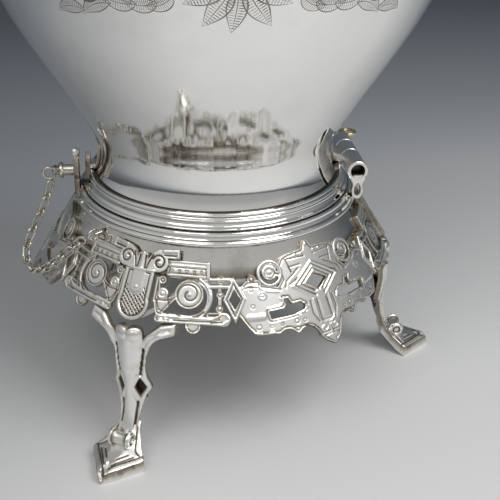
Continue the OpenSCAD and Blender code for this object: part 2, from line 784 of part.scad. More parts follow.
// Ring's outer form grown by a gap
module ring_shadow(gap) {
    rotate_extrude($fn = 96)
        polygon([[0, ring_z - 4], [ring_r + gap, ring_z - 4], [ring_r + gap, ring_z + 2],
            [ring_r - 1.3 + gap, ring_z + 2.4], [ring_r - 1.4 + gap, ring_z + 2.8],
            [ring_r - 2.6 + gap, ring_z + ring_h - 1.2 + gap],
            [ring_r - 3.2 + gap, ring_z + ring_h + gap], [0, ring_z + ring_h + gap]]);
}

// Leaf straps that spread the load of the hinge and the lock over the neck
leaf_edge = smooth([[5.4, 0], [5.8, 5], [4.4, 9], [2.6, 12], [3.4, 15], [2.4, 19], [0.4, 24]], 3);
module leaf(thick) {
    intersection() {
        difference() {
            body_shadow(thick);
            body_shadow(seam);
        }
        translate([0, 0, body_z + 0.1])
            rotate([90, 0, 90])
                linear_extrude(100)
                    polygon(concat(leaf_edge, rev([for (p = leaf_edge) [-p[0], p[1]]])));
    }
}
module hinge_leaf() {
    color(silver)
        difference() {
            rotate([0, 0, asin((mid_lo + mid_hi) / 2 / neck_r)])
                leaf(1.4);
            translate([waist_r - 1.4, (mid_lo + mid_hi) / 2 - 5 - seam, seat_z])
                cube([hinge_x - waist_r + 8, 10 + 2 * seam, hinge_z - seat_z + 5]);
        }
}
module lock_leaf() {
    color(silver)
        difference() {
            rotate([0, 0, 180])
                leaf(1.4);
            translate([-neck_r - 10, -blade_w / 2 - seam, seat_z])
                cube([neck_r - waist_r + 14, blade_w + 2 * seam, lock_z - seat_z + 8.6]);
        }
}

// Blade on the kettle that the lock pin enters
blade_w = 8;
module kettle_lock_lug() {
    color(silver)
        difference() {
            union() {
                translate([-blade_x - blade_t / 2 + 1.2, 0, 0])
                    rotate([90, 0, 90])
                        linear_extrude(blade_t, center = true)
                            polygon(concat([[-blade_w / 2, seat_z + 0.4]],
                                smooth([[-blade_w / 2, lock_z + 2], [-2.6, lock_z + 6.4],
                                    [0, lock_z + 9], [2.6, lock_z + 6.4],
                                    [blade_w / 2, lock_z + 2]], 3),
                                [[blade_w / 2, seat_z + 0.4]]));
                translate([-blade_x, -blade_w / 2, seat_z + foot_h + 0.1])
                    cube([blade_x - waist_r + 2, blade_w, 1.9]);
            }
            translate([-blade_x - 10, 0, lock_z])
                rotate([0, 90, 0])
                    cylinder(r = lock_pin_r + run, h = 14);
            body_shadow(seam);
            foot_shadow(seam);
        }
}

// Lock pin: its tip rests in the stand's lug, clear of the kettle's blade
lock_tip = lug_x - 0.4;
lock_head = lug_x + lug_t - 0.6 + lock_bare;
module lock_pin() {
    color(silver) {
        translate([-lock_head, 0, lock_z])
            rotate([0, 90, 0])
                cylinder(r = lock_pin_r, h = lock_head - lock_tip - 0.9);
        translate([-lock_tip - 0.9, 0, lock_z])
            rotate([0, 90, 0])
                cylinder(r1 = lock_pin_r, r2 = lock_pin_r - 0.9, h = 0.9);
        translate([-lock_head, 0, lock_z])
            rotate([0, -90, 0])
                rotate_extrude()
                    polygon([[0, -0.6], [3.3, -0.6], [3.7, 0.3], [3.3, 1.2], [2.2, 1.8],
                        [2.6, 2.8], [2.2, 4.2], [1, 5], [0, 5]]);
        translate([-lock_head - 6.4, 0, lock_z - 1.4])
            rotate([90, 0, 0])
                rotate_extrude($fn = 32)
                    translate([2.7, 0])
                        circle(0.7, $fn = 24);
    }
}

// Hinge pin, drawn out to the far side by its ring
module hinge_pin() {
    near_end = -hinge_len / 2 + 5;
    color(gilt) {
        translate([hinge_x, hinge_len / 2 + 1.4, hinge_z])
            rotate([90, 0, 0])
                cylinder(r = hinge_pin_r, h = hinge_len / 2 + 1.4 - near_end);
        translate([hinge_x, hinge_len / 2 + 2.4, hinge_z])
            rotate([90, 0, 0])
                cylinder(r = tube_r - 0.6, h = 2);
        translate([hinge_x, hinge_len / 2 + 5.6, hinge_z])
            rotate_extrude($fn = 32)
                translate([3, 0])
                    circle(0.8, $fn = 24);
    }
}

// Rim soldered on the kettle's mouth
rim_h = 2.4;
module mouth_rim() {
    color(bright)
        rotate_extrude($fn = 96)
            polygon([[mouth_r, mouth_z + seam], [collar_r + 1.4, mouth_z + seam],
                [collar_r + 2.4, mouth_z + 1.2], [collar_r + 1.4, mouth_z + rim_h],
                [mouth_r, mouth_z + rim_h]]);
}

// Spout: a tapering tube swept along one curve, open from the body to its lip
spout_a = [belly_r * 0.86, belly_z - 14];
spout_b = [belly_r * 1.26, belly_z - 20];
spout_c = [spout_reach - 34, spout_top + seat_z - 26];
spout_d = [spout_reach, spout_top + seat_z];
spout_steps = 14;
spout_sides = 20;
function spout_mid(t) = bez(spout_a, spout_b, spout_c, spout_d, t);
function spout_dir(t) = unit(spout_mid(min(t + 0.01, 1)) - spout_mid(max(t - 0.01, 0)));
function spout_rad(t) = spout_lip_r + (spout_root_r - spout_lip_r) * pow(1 - t, 1.5);
function spout_ring(t, inset, past) = let (m = spout_mid(t) + past * spout_dir(t),
    d = spout_dir(t), r = spout_rad(t) - inset)
    [for (k = [0 : spout_sides - 1]) let (a = 360 * k / spout_sides)
        [m[0] - d[1] * r * 1.08 * cos(a), r * sin(a), m[1] + d[0] * r * 1.08 * cos(a)]];
function tube_faces(rings, sides) = concat([[for (k = [0 : sides - 1]) k]],
    [for (i = [0 : rings - 2]) for (k = [0 : sides - 1]) let (j = (k + 1) % sides)
        [i * sides + k, (i + 1) * sides + k, (i + 1) * sides + j, i * sides + j]],
    [[for (k = [sides - 1 : -1 : 0]) (rings - 1) * sides + k]]);
module spout_form(inset, past) {
    points = [for (i = [0 : spout_steps]) each spout_ring(i / spout_steps, inset,
        i == 0 ? -past : (i == spout_steps ? past : 0))];
    polyhedron(points, [for (f = tube_faces(spout_steps + 1, spout_sides)) rev(f)]);
}
module spout_port() {
    d = spout_dir(0);
    translate([spout_a[0], 0, spout_a[1]])
        rotate([0, 90 - atan2(d[1], d[0]), 0])
            translate([0, 0, -24])
                cylinder(r = spout_root_r - 5, h = 50);
}
module spout() {
    color(bright)
        difference() {
            spout_form(0, 0);
            spout_form(1.6, 2);
            body_shadow(seam);
        }
}

// Posts on the shoulder, each with a trunnion pin that the handle turns on
pivot_z = mouth_z - 4;
post_z = belly_z + 44;
module handle_post(turn) {
    color(silver)
        rotate([0, 0, turn])
            difference() {
                union() {
                    translate([pivot_x - 7, 0, post_z - 12])
                        cylinder(r = 4.2, h = pivot_z - post_z + 12);
                    translate([pivot_x - 7, 0, pivot_z])
                        sphere(4.6, $fn = 32);
                }
                body_shadow(seam);
                translate([pivot_x - 20, 0, pivot_z])
                    rotate([0, 90, 0])
                        cylinder(r = 2 + run, h = 40);
                translate([pivot_x - 3, -10, pivot_z - 8])
                    cube([20, 20, 20]);
            }
}
module handle_post_spout() { handle_post(0); }
module handle_post_rear() { handle_post(180); }
module handle_pin(turn) {
    color(silver)
        rotate([0, 0, turn])
            translate([pivot_x - 11.2, 0, pivot_z])
                rotate([0, 90, 0]) {
                    cylinder(r = 2, h = 15.4);
                    translate([0, 0, 15.4])
                        rotate_extrude()
                            polygon([[0, -0.6], [3.4, -0.6], [3.4, 0.4], [2.4, 1.6], [0, 2.2]]);
                }
}
module handle_pin_spout() { handle_pin(0); }
module handle_pin_rear() { handle_pin(180); }

// Hinge of the lid, on the far side of the mouth, with its axis along X
lid_axis_y = collar_r + 5.4;
lid_axis_z = mouth_z + rim_h + 1.2;
lid_tube_r = 2.5;
lid_pin_r = 1.25;
module lid_tube_at(x0, x1) {
    translate([x0, lid_axis_y, lid_axis_z])
        rotate([0, 90, 0])
            cylinder(r = lid_tube_r, h = x1 - x0, $fn = 32);
}
module lid_bore() {
    translate([-20, lid_axis_y, lid_axis_z])
        rotate([0, 90, 0])
            cylinder(r = lid_pin_r + run, h = 40, $fn = 32);
}
module lid_hinge_tubes() {
    color(silver)
        difference() {
            union() {
                for (x = [-12, 4.2])
                    lid_tube_at(x, x + 7.8);
                for (x = [-12, 4.2])
                    translate([x, mouth_r, mouth_z + 0.3])
                        cube([7.8, lid_axis_y - mouth_r, 1.8]);
            }
            lid_bore();
            cylinder(r = collar_r + 2.5, h = 500, $fn = 96);
        }
}
module lid_hinge_pin() {
    color(silver)
        translate([-12.6, lid_axis_y, lid_axis_z])
            rotate([0, 90, 0])
                cylinder(r = lid_pin_r, h = 25.2, $fn = 32);
}

// Lid: domed shell with a flange and a spigot that drops into the rim
lid_z = mouth_z + rim_h + seam;
lid_line = smooth([[collar_r + 1.4, 0.2], [collar_r + 1.8, 1.4], [collar_r - 2, 3.2],
    [mouth_r - 4, dome_h * 0.34], [mouth_r - 13, dome_h * 0.66], [mouth_r * 0.42, dome_h * 0.9],
    [4.4, dome_h]], 3);
lid_under = smooth([[mouth_r - 4.4, dome_h * 0.34 - lid_t], [mouth_r - 13.6, dome_h * 0.66 - lid_t],
    [mouth_r * 0.4, dome_h * 0.9 - lid_t], [4.4, dome_h - lid_t]], 3);
module lid() {
    color(bright)
        difference() {
            translate([0, 0, lid_z])
                rotate_extrude($fn = 96)
                    polygon(concat([[collar_r + 1.4, 0]], lid_line, rev(lid_under),
                        [[mouth_r - 2.2, 1.2], [mouth_r - 2.2, -4], [mouth_r - 0.7, -4],
                            [mouth_r - 0.7, 0]]));
            cylinder(r = 2.2, h = 600);
        }
}
module lid_tube() {
    color(silver)
        difference() {
            union() {
                lid_tube_at(-4, 4);
                translate([-4, mouth_r, lid_axis_z])
                    cube([8, lid_axis_y - mouth_r, 1.6]);
            }
            lid_bore();
            cylinder(r = collar_r + 2, h = 500, $fn = 96);
        }
}
module lid_washer() {
    color(ivory)
        translate([0, 0, lid_z + dome_h + seam])
            rotate_extrude()
                polygon([[2.3, 0], [5, 0], [6, 1], [5, 2], [2.3, 2]]);
}
knob_z = lid_z + dome_h + 2 + 2 * seam;
module lid_knob() {
    color(silver) {
        translate([0, 0, knob_z])
            rotate_extrude()
                polygon(concat([[0, 0], [4.6, 0]],
                    smooth([[4.8, 0.8], [2.6, 2.6], [2.2, knob_h * 0.24], [6.4, knob_h * 0.42],
                        [8.2, knob_h * 0.56], [6.2, knob_h * 0.74], [2.4, knob_h * 0.84],
                        [2.8, knob_h * 0.92], [0.2, knob_h]], 3), [[0, knob_h]]));
        translate([0, 0, lid_z + dome_h - lid_t - 2.6])
            cylinder(r = 2.1, h = 8);
        translate([0, 0, lid_z + dome_h - lid_t - 2.6])
            cylinder(r = 4.4, h = 2.4, $fn = 6);
    }
}

// Handle: two cast arms, ivory washers and an ivory grip
grip_z = pivot_z + handle_h;
arm_end_x = grip_len / 2 + 3.2 + 2 * seam;
arm_a = [pivot_x, pivot_z + 3];
arm_b = [pivot_x + 16, pivot_z + handle_h * 0.5];
arm_c = [pivot_x + 2, grip_z];
arm_d_end = [arm_end_x, grip_z];
arm_steps = 16;
arm_sides = 12;
function arm_mid(t) = bez(arm_a, arm_b, arm_c, arm_d_end, t);
function arm_dir(t) = t == 1 ? [-1, 0] : unit(arm_mid(min(t + 0.01, 1)) - arm_mid(max(t - 0.01, 0)));
function arm_rad(t) = arm_d / 2 * (0.72 + 0.5 * sin(180 * t) + 0.1 * t);
function arm_ring(t) = let (m = arm_mid(t), d = arm_dir(t), r = arm_rad(t))
    [for (k = [0 : arm_sides - 1]) let (a = 360 * k / arm_sides)
        [m[0] - d[1] * r * 0.8 * cos(a), r * sin(a), m[1] + d[0] * r * 0.8 * cos(a)]];
module handle_arm(turn) {
    color(silver)
        rotate([0, 0, turn])
            difference() {
                union() {
                    polyhedron([for (i = [0 : arm_steps]) each arm_ring(i / arm_steps)],
                        [for (f = tube_faces(arm_steps + 1, arm_sides)) rev(f)]);
                    translate([pivot_x - 2.8, 0, pivot_z])
                        rotate([0, 90, 0])
                            cylinder(r = 5.2, h = 5.6);
                    translate([arm_end_x, 0, grip_z])
                        rotate([0, 90, 0])
                            cylinder(r = 5.2, h = 3);
                }
                translate([pivot_x - 20, 0, pivot_z])
                    rotate([0, 90, 0])
                        cylinder(r = 2 + run, h = 60);
                translate([pivot_x - 22.8, -10, pivot_z - 10])
                    cube([20, 20, 30]);
                translate([pivot_x + 2.8, -10, pivot_z - 6])
                    cube([20, 20, 12]);
            }
}
module handle_arm_spout() { handle_arm(0); }
module handle_arm_rear() { handle_arm(180); }
module handle_grip() {
    half = grip_len / 2;
    color(ivory)
        translate([0, 0, grip_z])
            rotate([0, 90, 0])
                rotate_extrude()
                    polygon(concat([[0, -half]], smooth([[5, -half], [5.6, -half + 3],
                        [grip_r - 1, -half * 0.55], [grip_r, 0], [grip_r - 1, half * 0.55],
                        [5.6, half - 3], [5, half]], 3), [[0, half]]));
}
module grip_washer(turn) {
    color(ivory)
        rotate([0, 0, turn])
            translate([grip_len / 2 + seam, 0, grip_z])
                rotate([0, 90, 0])
                    rotate_extrude()
                        polygon([[0, 0], [5.6, 0], [6.6, 1.6], [5.6, 3.2], [0, 3.2]]);
}
module grip_washer_spout() { grip_washer(0); }
module grip_washer_rear() { grip_washer(180); }

// Spirit lamp: bowl that hangs in its ring, collar, wick tube and wick, and a cap
module lamp_bowl() {
    color(bright)
        translate([0, 0, lamp_z])
            rotate_extrude()
                polygon(concat([[0, -lamp_depth]], smooth([[lamp_r * 0.6, -lamp_depth],
                    [lamp_r * 0.9, -lamp_depth * 0.72], [lamp_r, -lamp_depth * 0.3],
                    [lamp_r, seam]], 4), [[lamp_r + 2.4, seam], [lamp_r + 2.4, 1.4]],
                    smooth([[lamp_r, 2], [lamp_r * 0.72, 4.6], [10, 6]], 3), [[0, 6]]));
}
module lamp_collar() {
    color(bright)
        translate([0, 0, lamp_z + 6 + seam])
            rotate_extrude()
                polygon([[4, 0], [9, 0], [9, 1.4], [8, 2], [8, 5], [6, 5.4], [6, 12], [4, 12]]);
}
module lamp_wick() {
    color(cotton)
        translate([0, 0, lamp_z + 6 + seam])
            cylinder(r = 3.9, h = 14);
}
module lamp_cap() {
    color(bright)
        translate([0, 0, lamp_z + 11 + 3 * seam])
            rotate_extrude()
                polygon([[6.6, 0.6], [7.8, 0.6], [7.8, 9], [6, 11], [2, 11.6], [2.4, 13.4],
                    [0, 14.4], [0, 10.2], [5.2, 9.8], [6.6, 8.6]]);
}

stand_ring();
stand_skirt();
apron_front();
apron_lock();
apron_back();
crest_front();
crest_back();
crest_hinge();
leg_front();
leg_back();
leg_hinge();
stand_lock_lug();
stand_tube_near();
stand_tube_far();
chain_eye();
chain_stand_side();
lamp_ring();
lamp_arm_front();
lamp_arm_back();
lamp_arm_hinge();
kettle_body();
kettle_foot();
kettle_tube();
hinge_leaf();
lock_leaf();
kettle_lock_lug();
mouth_rim();
spout();
handle_post_spout();
handle_post_rear();
handle_pin_spout();
handle_pin_rear();
lid_hinge_tubes();
lid_hinge_pin();
lid();
lid_tube();
lid_washer();
lid_knob();
handle_arm_spout();
handle_arm_rear();
handle_grip();
grip_washer_spout();
grip_washer_rear();
lock_pin();
chain_pin_side();
hinge_pin();
lamp_bowl();
lamp_collar();
lamp_wick();
lamp_cap();
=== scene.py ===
import json
import math

import bmesh
import bpy
import numpy as np
from mathutils import Matrix, Vector


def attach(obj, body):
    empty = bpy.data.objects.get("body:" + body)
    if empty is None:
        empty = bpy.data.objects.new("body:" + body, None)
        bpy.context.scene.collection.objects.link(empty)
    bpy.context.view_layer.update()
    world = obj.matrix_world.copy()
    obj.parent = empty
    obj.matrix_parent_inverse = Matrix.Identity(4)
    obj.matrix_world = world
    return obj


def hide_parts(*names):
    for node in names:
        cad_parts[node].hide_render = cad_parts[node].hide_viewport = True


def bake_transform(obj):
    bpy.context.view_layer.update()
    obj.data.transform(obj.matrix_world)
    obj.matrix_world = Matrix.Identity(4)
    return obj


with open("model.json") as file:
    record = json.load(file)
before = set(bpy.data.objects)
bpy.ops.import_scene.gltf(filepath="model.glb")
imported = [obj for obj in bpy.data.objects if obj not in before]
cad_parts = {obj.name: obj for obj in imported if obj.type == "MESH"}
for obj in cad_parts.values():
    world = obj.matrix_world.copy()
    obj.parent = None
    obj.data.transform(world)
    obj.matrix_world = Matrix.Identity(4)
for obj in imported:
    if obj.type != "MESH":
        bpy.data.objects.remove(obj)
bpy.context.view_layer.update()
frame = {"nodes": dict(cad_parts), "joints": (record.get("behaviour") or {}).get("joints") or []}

# Camera
# It looks down at the stand from the front, a little to the left, as the photographer stood.
camera = bpy.data.objects.new("camera", bpy.data.cameras.new("camera"))
camera.data.sensor_width = 36
camera.data.lens = 64.8
camera.location = (-0.03005, -0.39673, 0.26175)
camera.rotation_euler = [math.radians(turn) for turn in (63.116, -1.009, -6.236)]
bpy.context.collection.objects.link(camera)
bpy.context.scene.camera = camera
bpy.context.scene.view_settings.view_transform = "Standard"


# Studio
# A table top painted with a pool of light, pale in front and turning slate grey with distance, a
# light tent round it, and two soft boxes, the key on the right of the camera and a weaker one on its
# left.
def shader(name):
    material = bpy.data.materials.new(name)
    material.use_nodes = True
    tree = material.node_tree
    return material, tree, tree.nodes["Principled BSDF"]


def add(tree, kind, values=(), **settings):
    """Adds a node and sets its inputs, each to a value or to another node's output"""
    node = tree.nodes.new(kind)
    for key, value in settings.items():
        setattr(node, key, value)
    for key, value in dict(values).items():
        if isinstance(value, bpy.types.NodeSocket):
            tree.links.new(value, node.inputs[key])
        else:
            node.inputs[key].default_value = value
    return node


def ramp(tree, factor, stops):
    """A colour that runs through the stops, each a place from 0 to 1 and its colour"""
    node = add(tree, "ShaderNodeValToRGB", {"Fac": factor})
    while len(node.color_ramp.elements) < len(stops):
        node.color_ramp.elements.new(0.5)
    for element, (place, colour) in zip(node.color_ramp.elements, stops):
        element.position = place
        element.color = (*colour, 1)
    return node.outputs["Color"]


TABLE_R = 2.6
floor_mesh = bpy.data.meshes.new("table_top")
table_edge = [(TABLE_R * math.cos(a), TABLE_R * math.sin(a), 0)
              for a in np.linspace(0, math.tau, 96)[:-1]]
floor_mesh.from_pydata(table_edge, [], [range(len(table_edge))])
floor = bpy.data.objects.new("table_top", floor_mesh)
bpy.context.collection.objects.link(floor)
floor_material, tree, principled = shader("table_top")
place = add(tree, "ShaderNodeTexCoord").outputs["Object"]
# A pool of light is painted on the table: lightest in front of the stand, at (0.3, -0.45), and
# painted darker all round that place.
from_light_pool = add(tree, "ShaderNodeVectorMath", {0: place, 1: (-0.3, 0.45, 0)}, operation="ADD")
distance = add(tree, "ShaderNodeVectorMath", {0: from_light_pool.outputs[0]}, operation="LENGTH")
share = add(tree, "ShaderNodeMapRange", {"Value": distance.outputs["Value"], "From Max": 1.6})
painted_light_tone = ramp(tree, share.outputs["Result"], [
    (0.0, (0.76, 0.76, 0.76)), (0.29, (0.73, 0.73, 0.73)), (0.325, (0.64, 0.64, 0.645)),
    (0.36, (0.56, 0.565, 0.57)), (0.41, (0.46, 0.465, 0.475)), (0.45, (0.4, 0.41, 0.425)),
    (0.5, (0.3, 0.315, 0.335)), (0.56, (0.225, 0.245, 0.265)), (0.65, (0.165, 0.185, 0.205)),
    (0.72, (0.125, 0.145, 0.165)), (0.82, (0.08, 0.095, 0.11)), (1.0, (0.05, 0.06, 0.07))])
tree.links.new(painted_light_tone, principled.inputs["Base Color"])
principled.inputs["Roughness"].default_value = 0.55
floor_mesh.materials.append(floor_material)

world = bpy.data.worlds.new("studio")
bpy.context.scene.world = world
world.use_nodes = True
tree = world.node_tree
# The tent is pale overhead and in front, and slate grey behind the stand.
way = add(tree, "ShaderNodeTexCoord").outputs["Generated"]
parts = add(tree, "ShaderNodeSeparateXYZ", {0: way})
lift = add(tree, "ShaderNodeMapRange", {
    "Value": parts.outputs["Z"], "From Min": -0.1, "From Max": 1.0})
tent = ramp(tree, lift.outputs["Result"], [
    (0.0, (0.3, 0.305, 0.31)), (0.12, (0.35, 0.355, 0.36)), (0.3, (0.4, 0.4, 0.395)),
    (0.6, (0.5, 0.5, 0.49)), (0.8, (0.6, 0.6, 0.59)), (1.0, (0.68, 0.68, 0.67))])
toward = add(tree, "ShaderNodeVectorMath", {0: way, 1: (0.3, 1, 0)}, operation="DOT_PRODUCT")
front = add(tree, "ShaderNodeMapRange", {
    "Value": toward.outputs["Value"], "From Min": -0.2, "From Max": 0.75, "To Min": 1.0,
    "To Max": 0.0})
slate = add(tree, "ShaderNodeMix", {
    0: front.outputs["Result"], 6: (0.1, 0.115, 0.13, 1), 7: tent}, data_type="RGBA")
background = tree.nodes["Background"]
tree.links.new(slate.outputs[2], background.inputs["Color"])
background.inputs["Strength"].default_value = 0.95


def soft_box(name, place, width, height, watts):
    """An area light turned towards the middle of the stand"""
    lamp = bpy.data.lights.new(name, "AREA")
    lamp.shape = "RECTANGLE"
    lamp.size, lamp.size_y, lamp.energy = width, height, watts
    holder = bpy.data.objects.new(name, lamp)
    holder.location = place
    aim = Vector((0, 0, 0.1)) - Vector(place)
    holder.rotation_euler = aim.to_track_quat("-Z", "Y").to_euler()
    bpy.context.collection.objects.link(holder)


soft_box("key_box", (0.62, -0.6, 1.35), 0.85, 0.85, 11)
soft_box("left_box", (-0.5, -0.75, 1.25), 0.7, 0.6, 3)


# Stand ring and skirt
# A turned silver band with a bead at its foot carries the kettle and takes its spigot. A plain
# spun cone is soldered under it, and the pierced apron is soldered over the cone.
def piece(name, shells, material, sharp=38):
    """One mesh from shells, each of points in millimetres, faces and perhaps each point's painted
    shade and tarnish
    """
    points, faces, shade_and_tarnish = [], [], []
    for shell in shells:
        first = len(points)
        points += (np.asarray(shell[0], float) * 0.001).tolist()
        faces += [[first + int(i) for i in face] for face in shell[1]]
        shade_and_tarnish += list(shell[2]) if len(shell) > 2 else [0.0] * len(shell[0])
    mesh = bpy.data.meshes.new(name)
    mesh.from_pydata(points, [], faces)
    # Each point's painted shade and tarnish goes into an attribute that the silver reads.
    layer = mesh.attributes.new("painted_shade_and_tarnish", "FLOAT", "POINT")
    layer.data.foreach_set("value", np.asarray(shade_and_tarnish, np.float32))
    # Doubled points are merged before the faces are turned outwards.
    made = bmesh.new()
    made.from_mesh(mesh)
    bmesh.ops.remove_doubles(made, verts=made.verts, dist=2e-6)
    bmesh.ops.recalc_face_normals(made, faces=made.faces)
    made.to_mesh(mesh)
    made.free()
    mesh.shade_smooth()
    mesh.set_sharp_from_angle(angle=math.radians(sharp))
    mesh.materials.append(material)
    thing = bpy.data.objects.new(name, mesh)
    bpy.context.collection.objects.link(thing)
    return thing


def settle(thing, body, slot, *nodes):
    """Ties a piece to its body and hides the CAD nodes that it stands for; its colour slot is not
    used
    """
    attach(thing, body)
    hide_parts(*nodes)


def silver(name, tarnish=0.22, low=0.05, high=0.2, wave=0.0, grain=0.01, size=60,
           bright=(0.93, 0.925, 0.91), worn=(0.84, 0.82, 0.77)):
    """Silver that dulls in patches and is painted dark where the attribute of painted shade and
    tarnish is high
    """
    material, tree, principled = shader(name)
    place = add(tree, "ShaderNodeTexCoord").outputs["Object"]
    cloud = add(tree, "ShaderNodeTexNoise", {
        "Vector": place, "Scale": size, "Detail": 5, "Roughness": 0.62})
    film = add(tree, "ShaderNodeMapRange", {
        "Value": cloud.outputs["Fac"], "From Min": 0.5, "From Max": 0.8, "To Max": tarnish})
    # This attribute holds painted shade and tarnish; the higher it is, the darker and duller the
    # silver is painted.
    deep = add(tree, "ShaderNodeAttribute", attribute_name="painted_shade_and_tarnish")
    tarnish_and_shade = add(tree, "ShaderNodeMath", {0: film.outputs["Result"], 1: deep.outputs["Fac"]},
               operation="ADD", use_clamp=True)
    colour = ramp(tree, tarnish_and_shade.outputs[0], [
        (0.0, bright), (0.3, worn), (0.6, (0.4, 0.36, 0.3)), (1.0, (0.09, 0.075, 0.06))])
    shine = add(tree, "ShaderNodeMapRange", {
        "Value": tarnish_and_shade.outputs[0], "To Min": low, "To Max": high})
    fine = add(tree, "ShaderNodeTexNoise", {
        "Vector": place, "Scale": 900, "Detail": 3, "Roughness": 0.7})
    bump = add(tree, "ShaderNodeBump", {
        "Height": fine.outputs["Fac"], "Strength": grain, "Distance": 0.001})
    slow = add(tree, "ShaderNodeTexNoise", {"Vector": place, "Scale": 22, "Detail": 2})
    hammered = add(tree, "ShaderNodeBump", {
        "Height": slow.outputs["Fac"], "Strength": wave, "Distance": 0.004,
        "Normal": bump.outputs["Normal"]})
    tree.links.new(colour, principled.inputs["Base Color"])
    tree.links.new(shine.outputs["Result"], principled.inputs["Roughness"])
    tree.links.new(hammered.outputs["Normal"], principled.inputs["Normal"])
    principled.inputs["Metallic"].default_value = 1.0
    return material


def moved(points, shift):
    """Points carried by a matrix"""
    return np.asarray(points) @ np.array(shift.to_3x3()).T + np.array(shift.translation)


def lathe(outline, sides=192, shift=Matrix.Identity(4), lobes=0, depth=0.0):
    """Turned shell of an outline, whose points are a radius, a height and perhaps a painted shade"""
    angles = np.arange(sides) * math.tau / sides
    line = np.array([(*point, 0)[:3] for point in outline], float)
    count = len(line)
    swing = 1 - depth * (0.5 + 0.5 * np.cos(lobes * angles)) if lobes else np.ones(sides)
    points = np.stack([np.outer(np.cos(angles) * swing, line[:, 0]),
                       np.outer(np.sin(angles) * swing, line[:, 0]),
                       np.tile(line[:, 1], (sides, 1))], axis=2).reshape(-1, 3)
    faces = []
    for i in range(sides):
        a, b = i * count, (i + 1) % sides * count
        for k in range(count):
            n = (k + 1) % count
            this_off_axis, next_off_axis = line[k, 0] > 1e-6, line[n, 0] > 1e-6
            if this_off_axis and next_off_axis:
                faces.append((a + k, b + k, b + n, a + n))
            elif this_off_axis:
                faces.append((a + k, b + k, a + n))
            elif next_off_axis:
                faces.append((a + k, b + n, a + n))
    return moved(points, shift), faces, np.tile(line[:, 2], sides)


def stood(x, y, z, axis="Z", turn=0):
    """Where a turned part stands, with its axis along X, Y or Z, carried round by the turn"""
    lean = {"Z": Matrix.Identity(4), "X": Matrix.Rotation(math.pi / 2, 4, "Y"),
            "Y": Matrix.Rotation(-math.pi / 2, 4, "X")}[axis]
    return Matrix.Rotation(math.radians(turn), 4, "Z") @ Matrix.Translation((x, y, z)) @ lean


def bow(x, z, r, start, end, count=9):
    """Points of an arc from one angle to another, in degrees"""
    return [(x + r * math.cos(math.radians(a)), z + r * math.sin(math.radians(a)))
            for a in np.linspace(start, end, count)]


def flow(points, count=6):
    """Smooth line through given points"""
    p = np.array([points[0], *points, points[-1]], float)
    line = []
    for a, b, c, d in zip(p, p[1:], p[2:], p[3:]):
        for t in np.arange(count) / count:
            line.append(0.5 * (2 * b + (c - a) * t + (2 * a - 5 * b + 4 * c - d) * t ** 2
                               + (3 * b - a - 3 * c + d) * t ** 3))
    return [tuple(q) for q in line] + [tuple(p[-1])]


def wire_ring(r, half, shift):
    """Ring of round wire, by its radius and half the wire's thickness"""
    return lathe(bow(r, 0, half, 0, 360, 13)[:-1], 48, shift)


def slab(outline, thick, shift, edge=0.4):
    """Plate of an outline with softened edges"""
    line = np.array(outline, float)
    way = np.roll(line, -1, 0) - np.roll(line, 1, 0)
    side = np.stack([way[:, 1], -way[:, 0]], 1) / np.linalg.norm(way, axis=1)[:, None]
    area = np.sum(line[:, 0] * np.roll(line[:, 1], -1) - np.roll(line[:, 0], -1) * line[:, 1])
    side *= math.copysign(1, area)
    layers = [(-edge, -thick / 2), (-edge * 0.3, edge * 0.3 - thick / 2), (0, edge - thick / 2),
              (0, thick / 2 - edge), (-edge * 0.3, thick / 2 - edge * 0.3), (-edge, thick / 2)]
    points = np.concatenate([np.c_[line + side * inset, np.full(len(line), level)]
                             for inset, level in layers])
    n = len(line)
    faces = [tuple(range(n)), tuple(range(5 * n, 6 * n))]
    for layer in range(5):
        faces += [(layer * n + k, layer * n + (k + 1) % n, (layer + 1) * n + (k + 1) % n,
                   (layer + 1) * n + k) for k in range(n)]
    return moved(points, shift), faces


polished = silver("polished_silver", tarnish=0.2, low=0.045, high=0.16, wave=0.02,
                  worn=(0.82, 0.81, 0.78))
SKIRT_R, SKIRT_Z = 65, 94
# The band is painted dark where the skirt meets it, in the groove over its bead and on its top under
# the kettle's foot, as painted shade.
ring = piece("stand_ring_band", [lathe([
    (57.6, SKIRT_Z), (64.2, SKIRT_Z, 0.8), *bow(64.85, 95.15, 1.1, -75, 100), (64.25, 96.4, 0.7),
    (64.2, 96.7, 0.7), *bow(66.3, 98.7, 2.9, 222, 178, 7), (63.2, 98.9), (62.9, 99.2),
    (62.5, 99.5, 0.8), (62.0, 99.6, 1), (57.6, 99.6, 1)])], polished)
settle(ring, "stand", "silver", "stand_ring")

# The skirt's cone spreads by FLARE for each millimetre that it drops. SLOPE is its length for
# that drop, OUT the way it faces, and APEX how far up the slope its point would be.
FLARE = 0.64
SLOPE = math.hypot(1, FLARE)
OUT = (1 / SLOPE, FLARE / SLOPE)
APEX = SKIRT_R * SLOPE / FLARE


def cone(s, lift=0.0):
    """Radius and height at s down the slope from the ring, lifted off the cone"""
    return SKIRT_R + s * OUT[1] + lift * OUT[0], SKIRT_Z - s / SLOPE + lift * OUT[1]


# The cone's outer face is painted dark, darkest at its lower edge, as painted shade under the ring
# and behind the apron.
skirt = piece("stand_skirt_cone", [lathe([
    (*cone(0.1, -1.9), 0.35), (*cone(8.0, -1.9), 0.3), (*cone(13.0, -1.9), 0.65), cone(13.4, -2.2),
    cone(13.4, -2.8), cone(13.0, -3.1), cone(0.1, -3.1)])], polished)
settle(skirt, "stand", "silver", "stand_skirt")


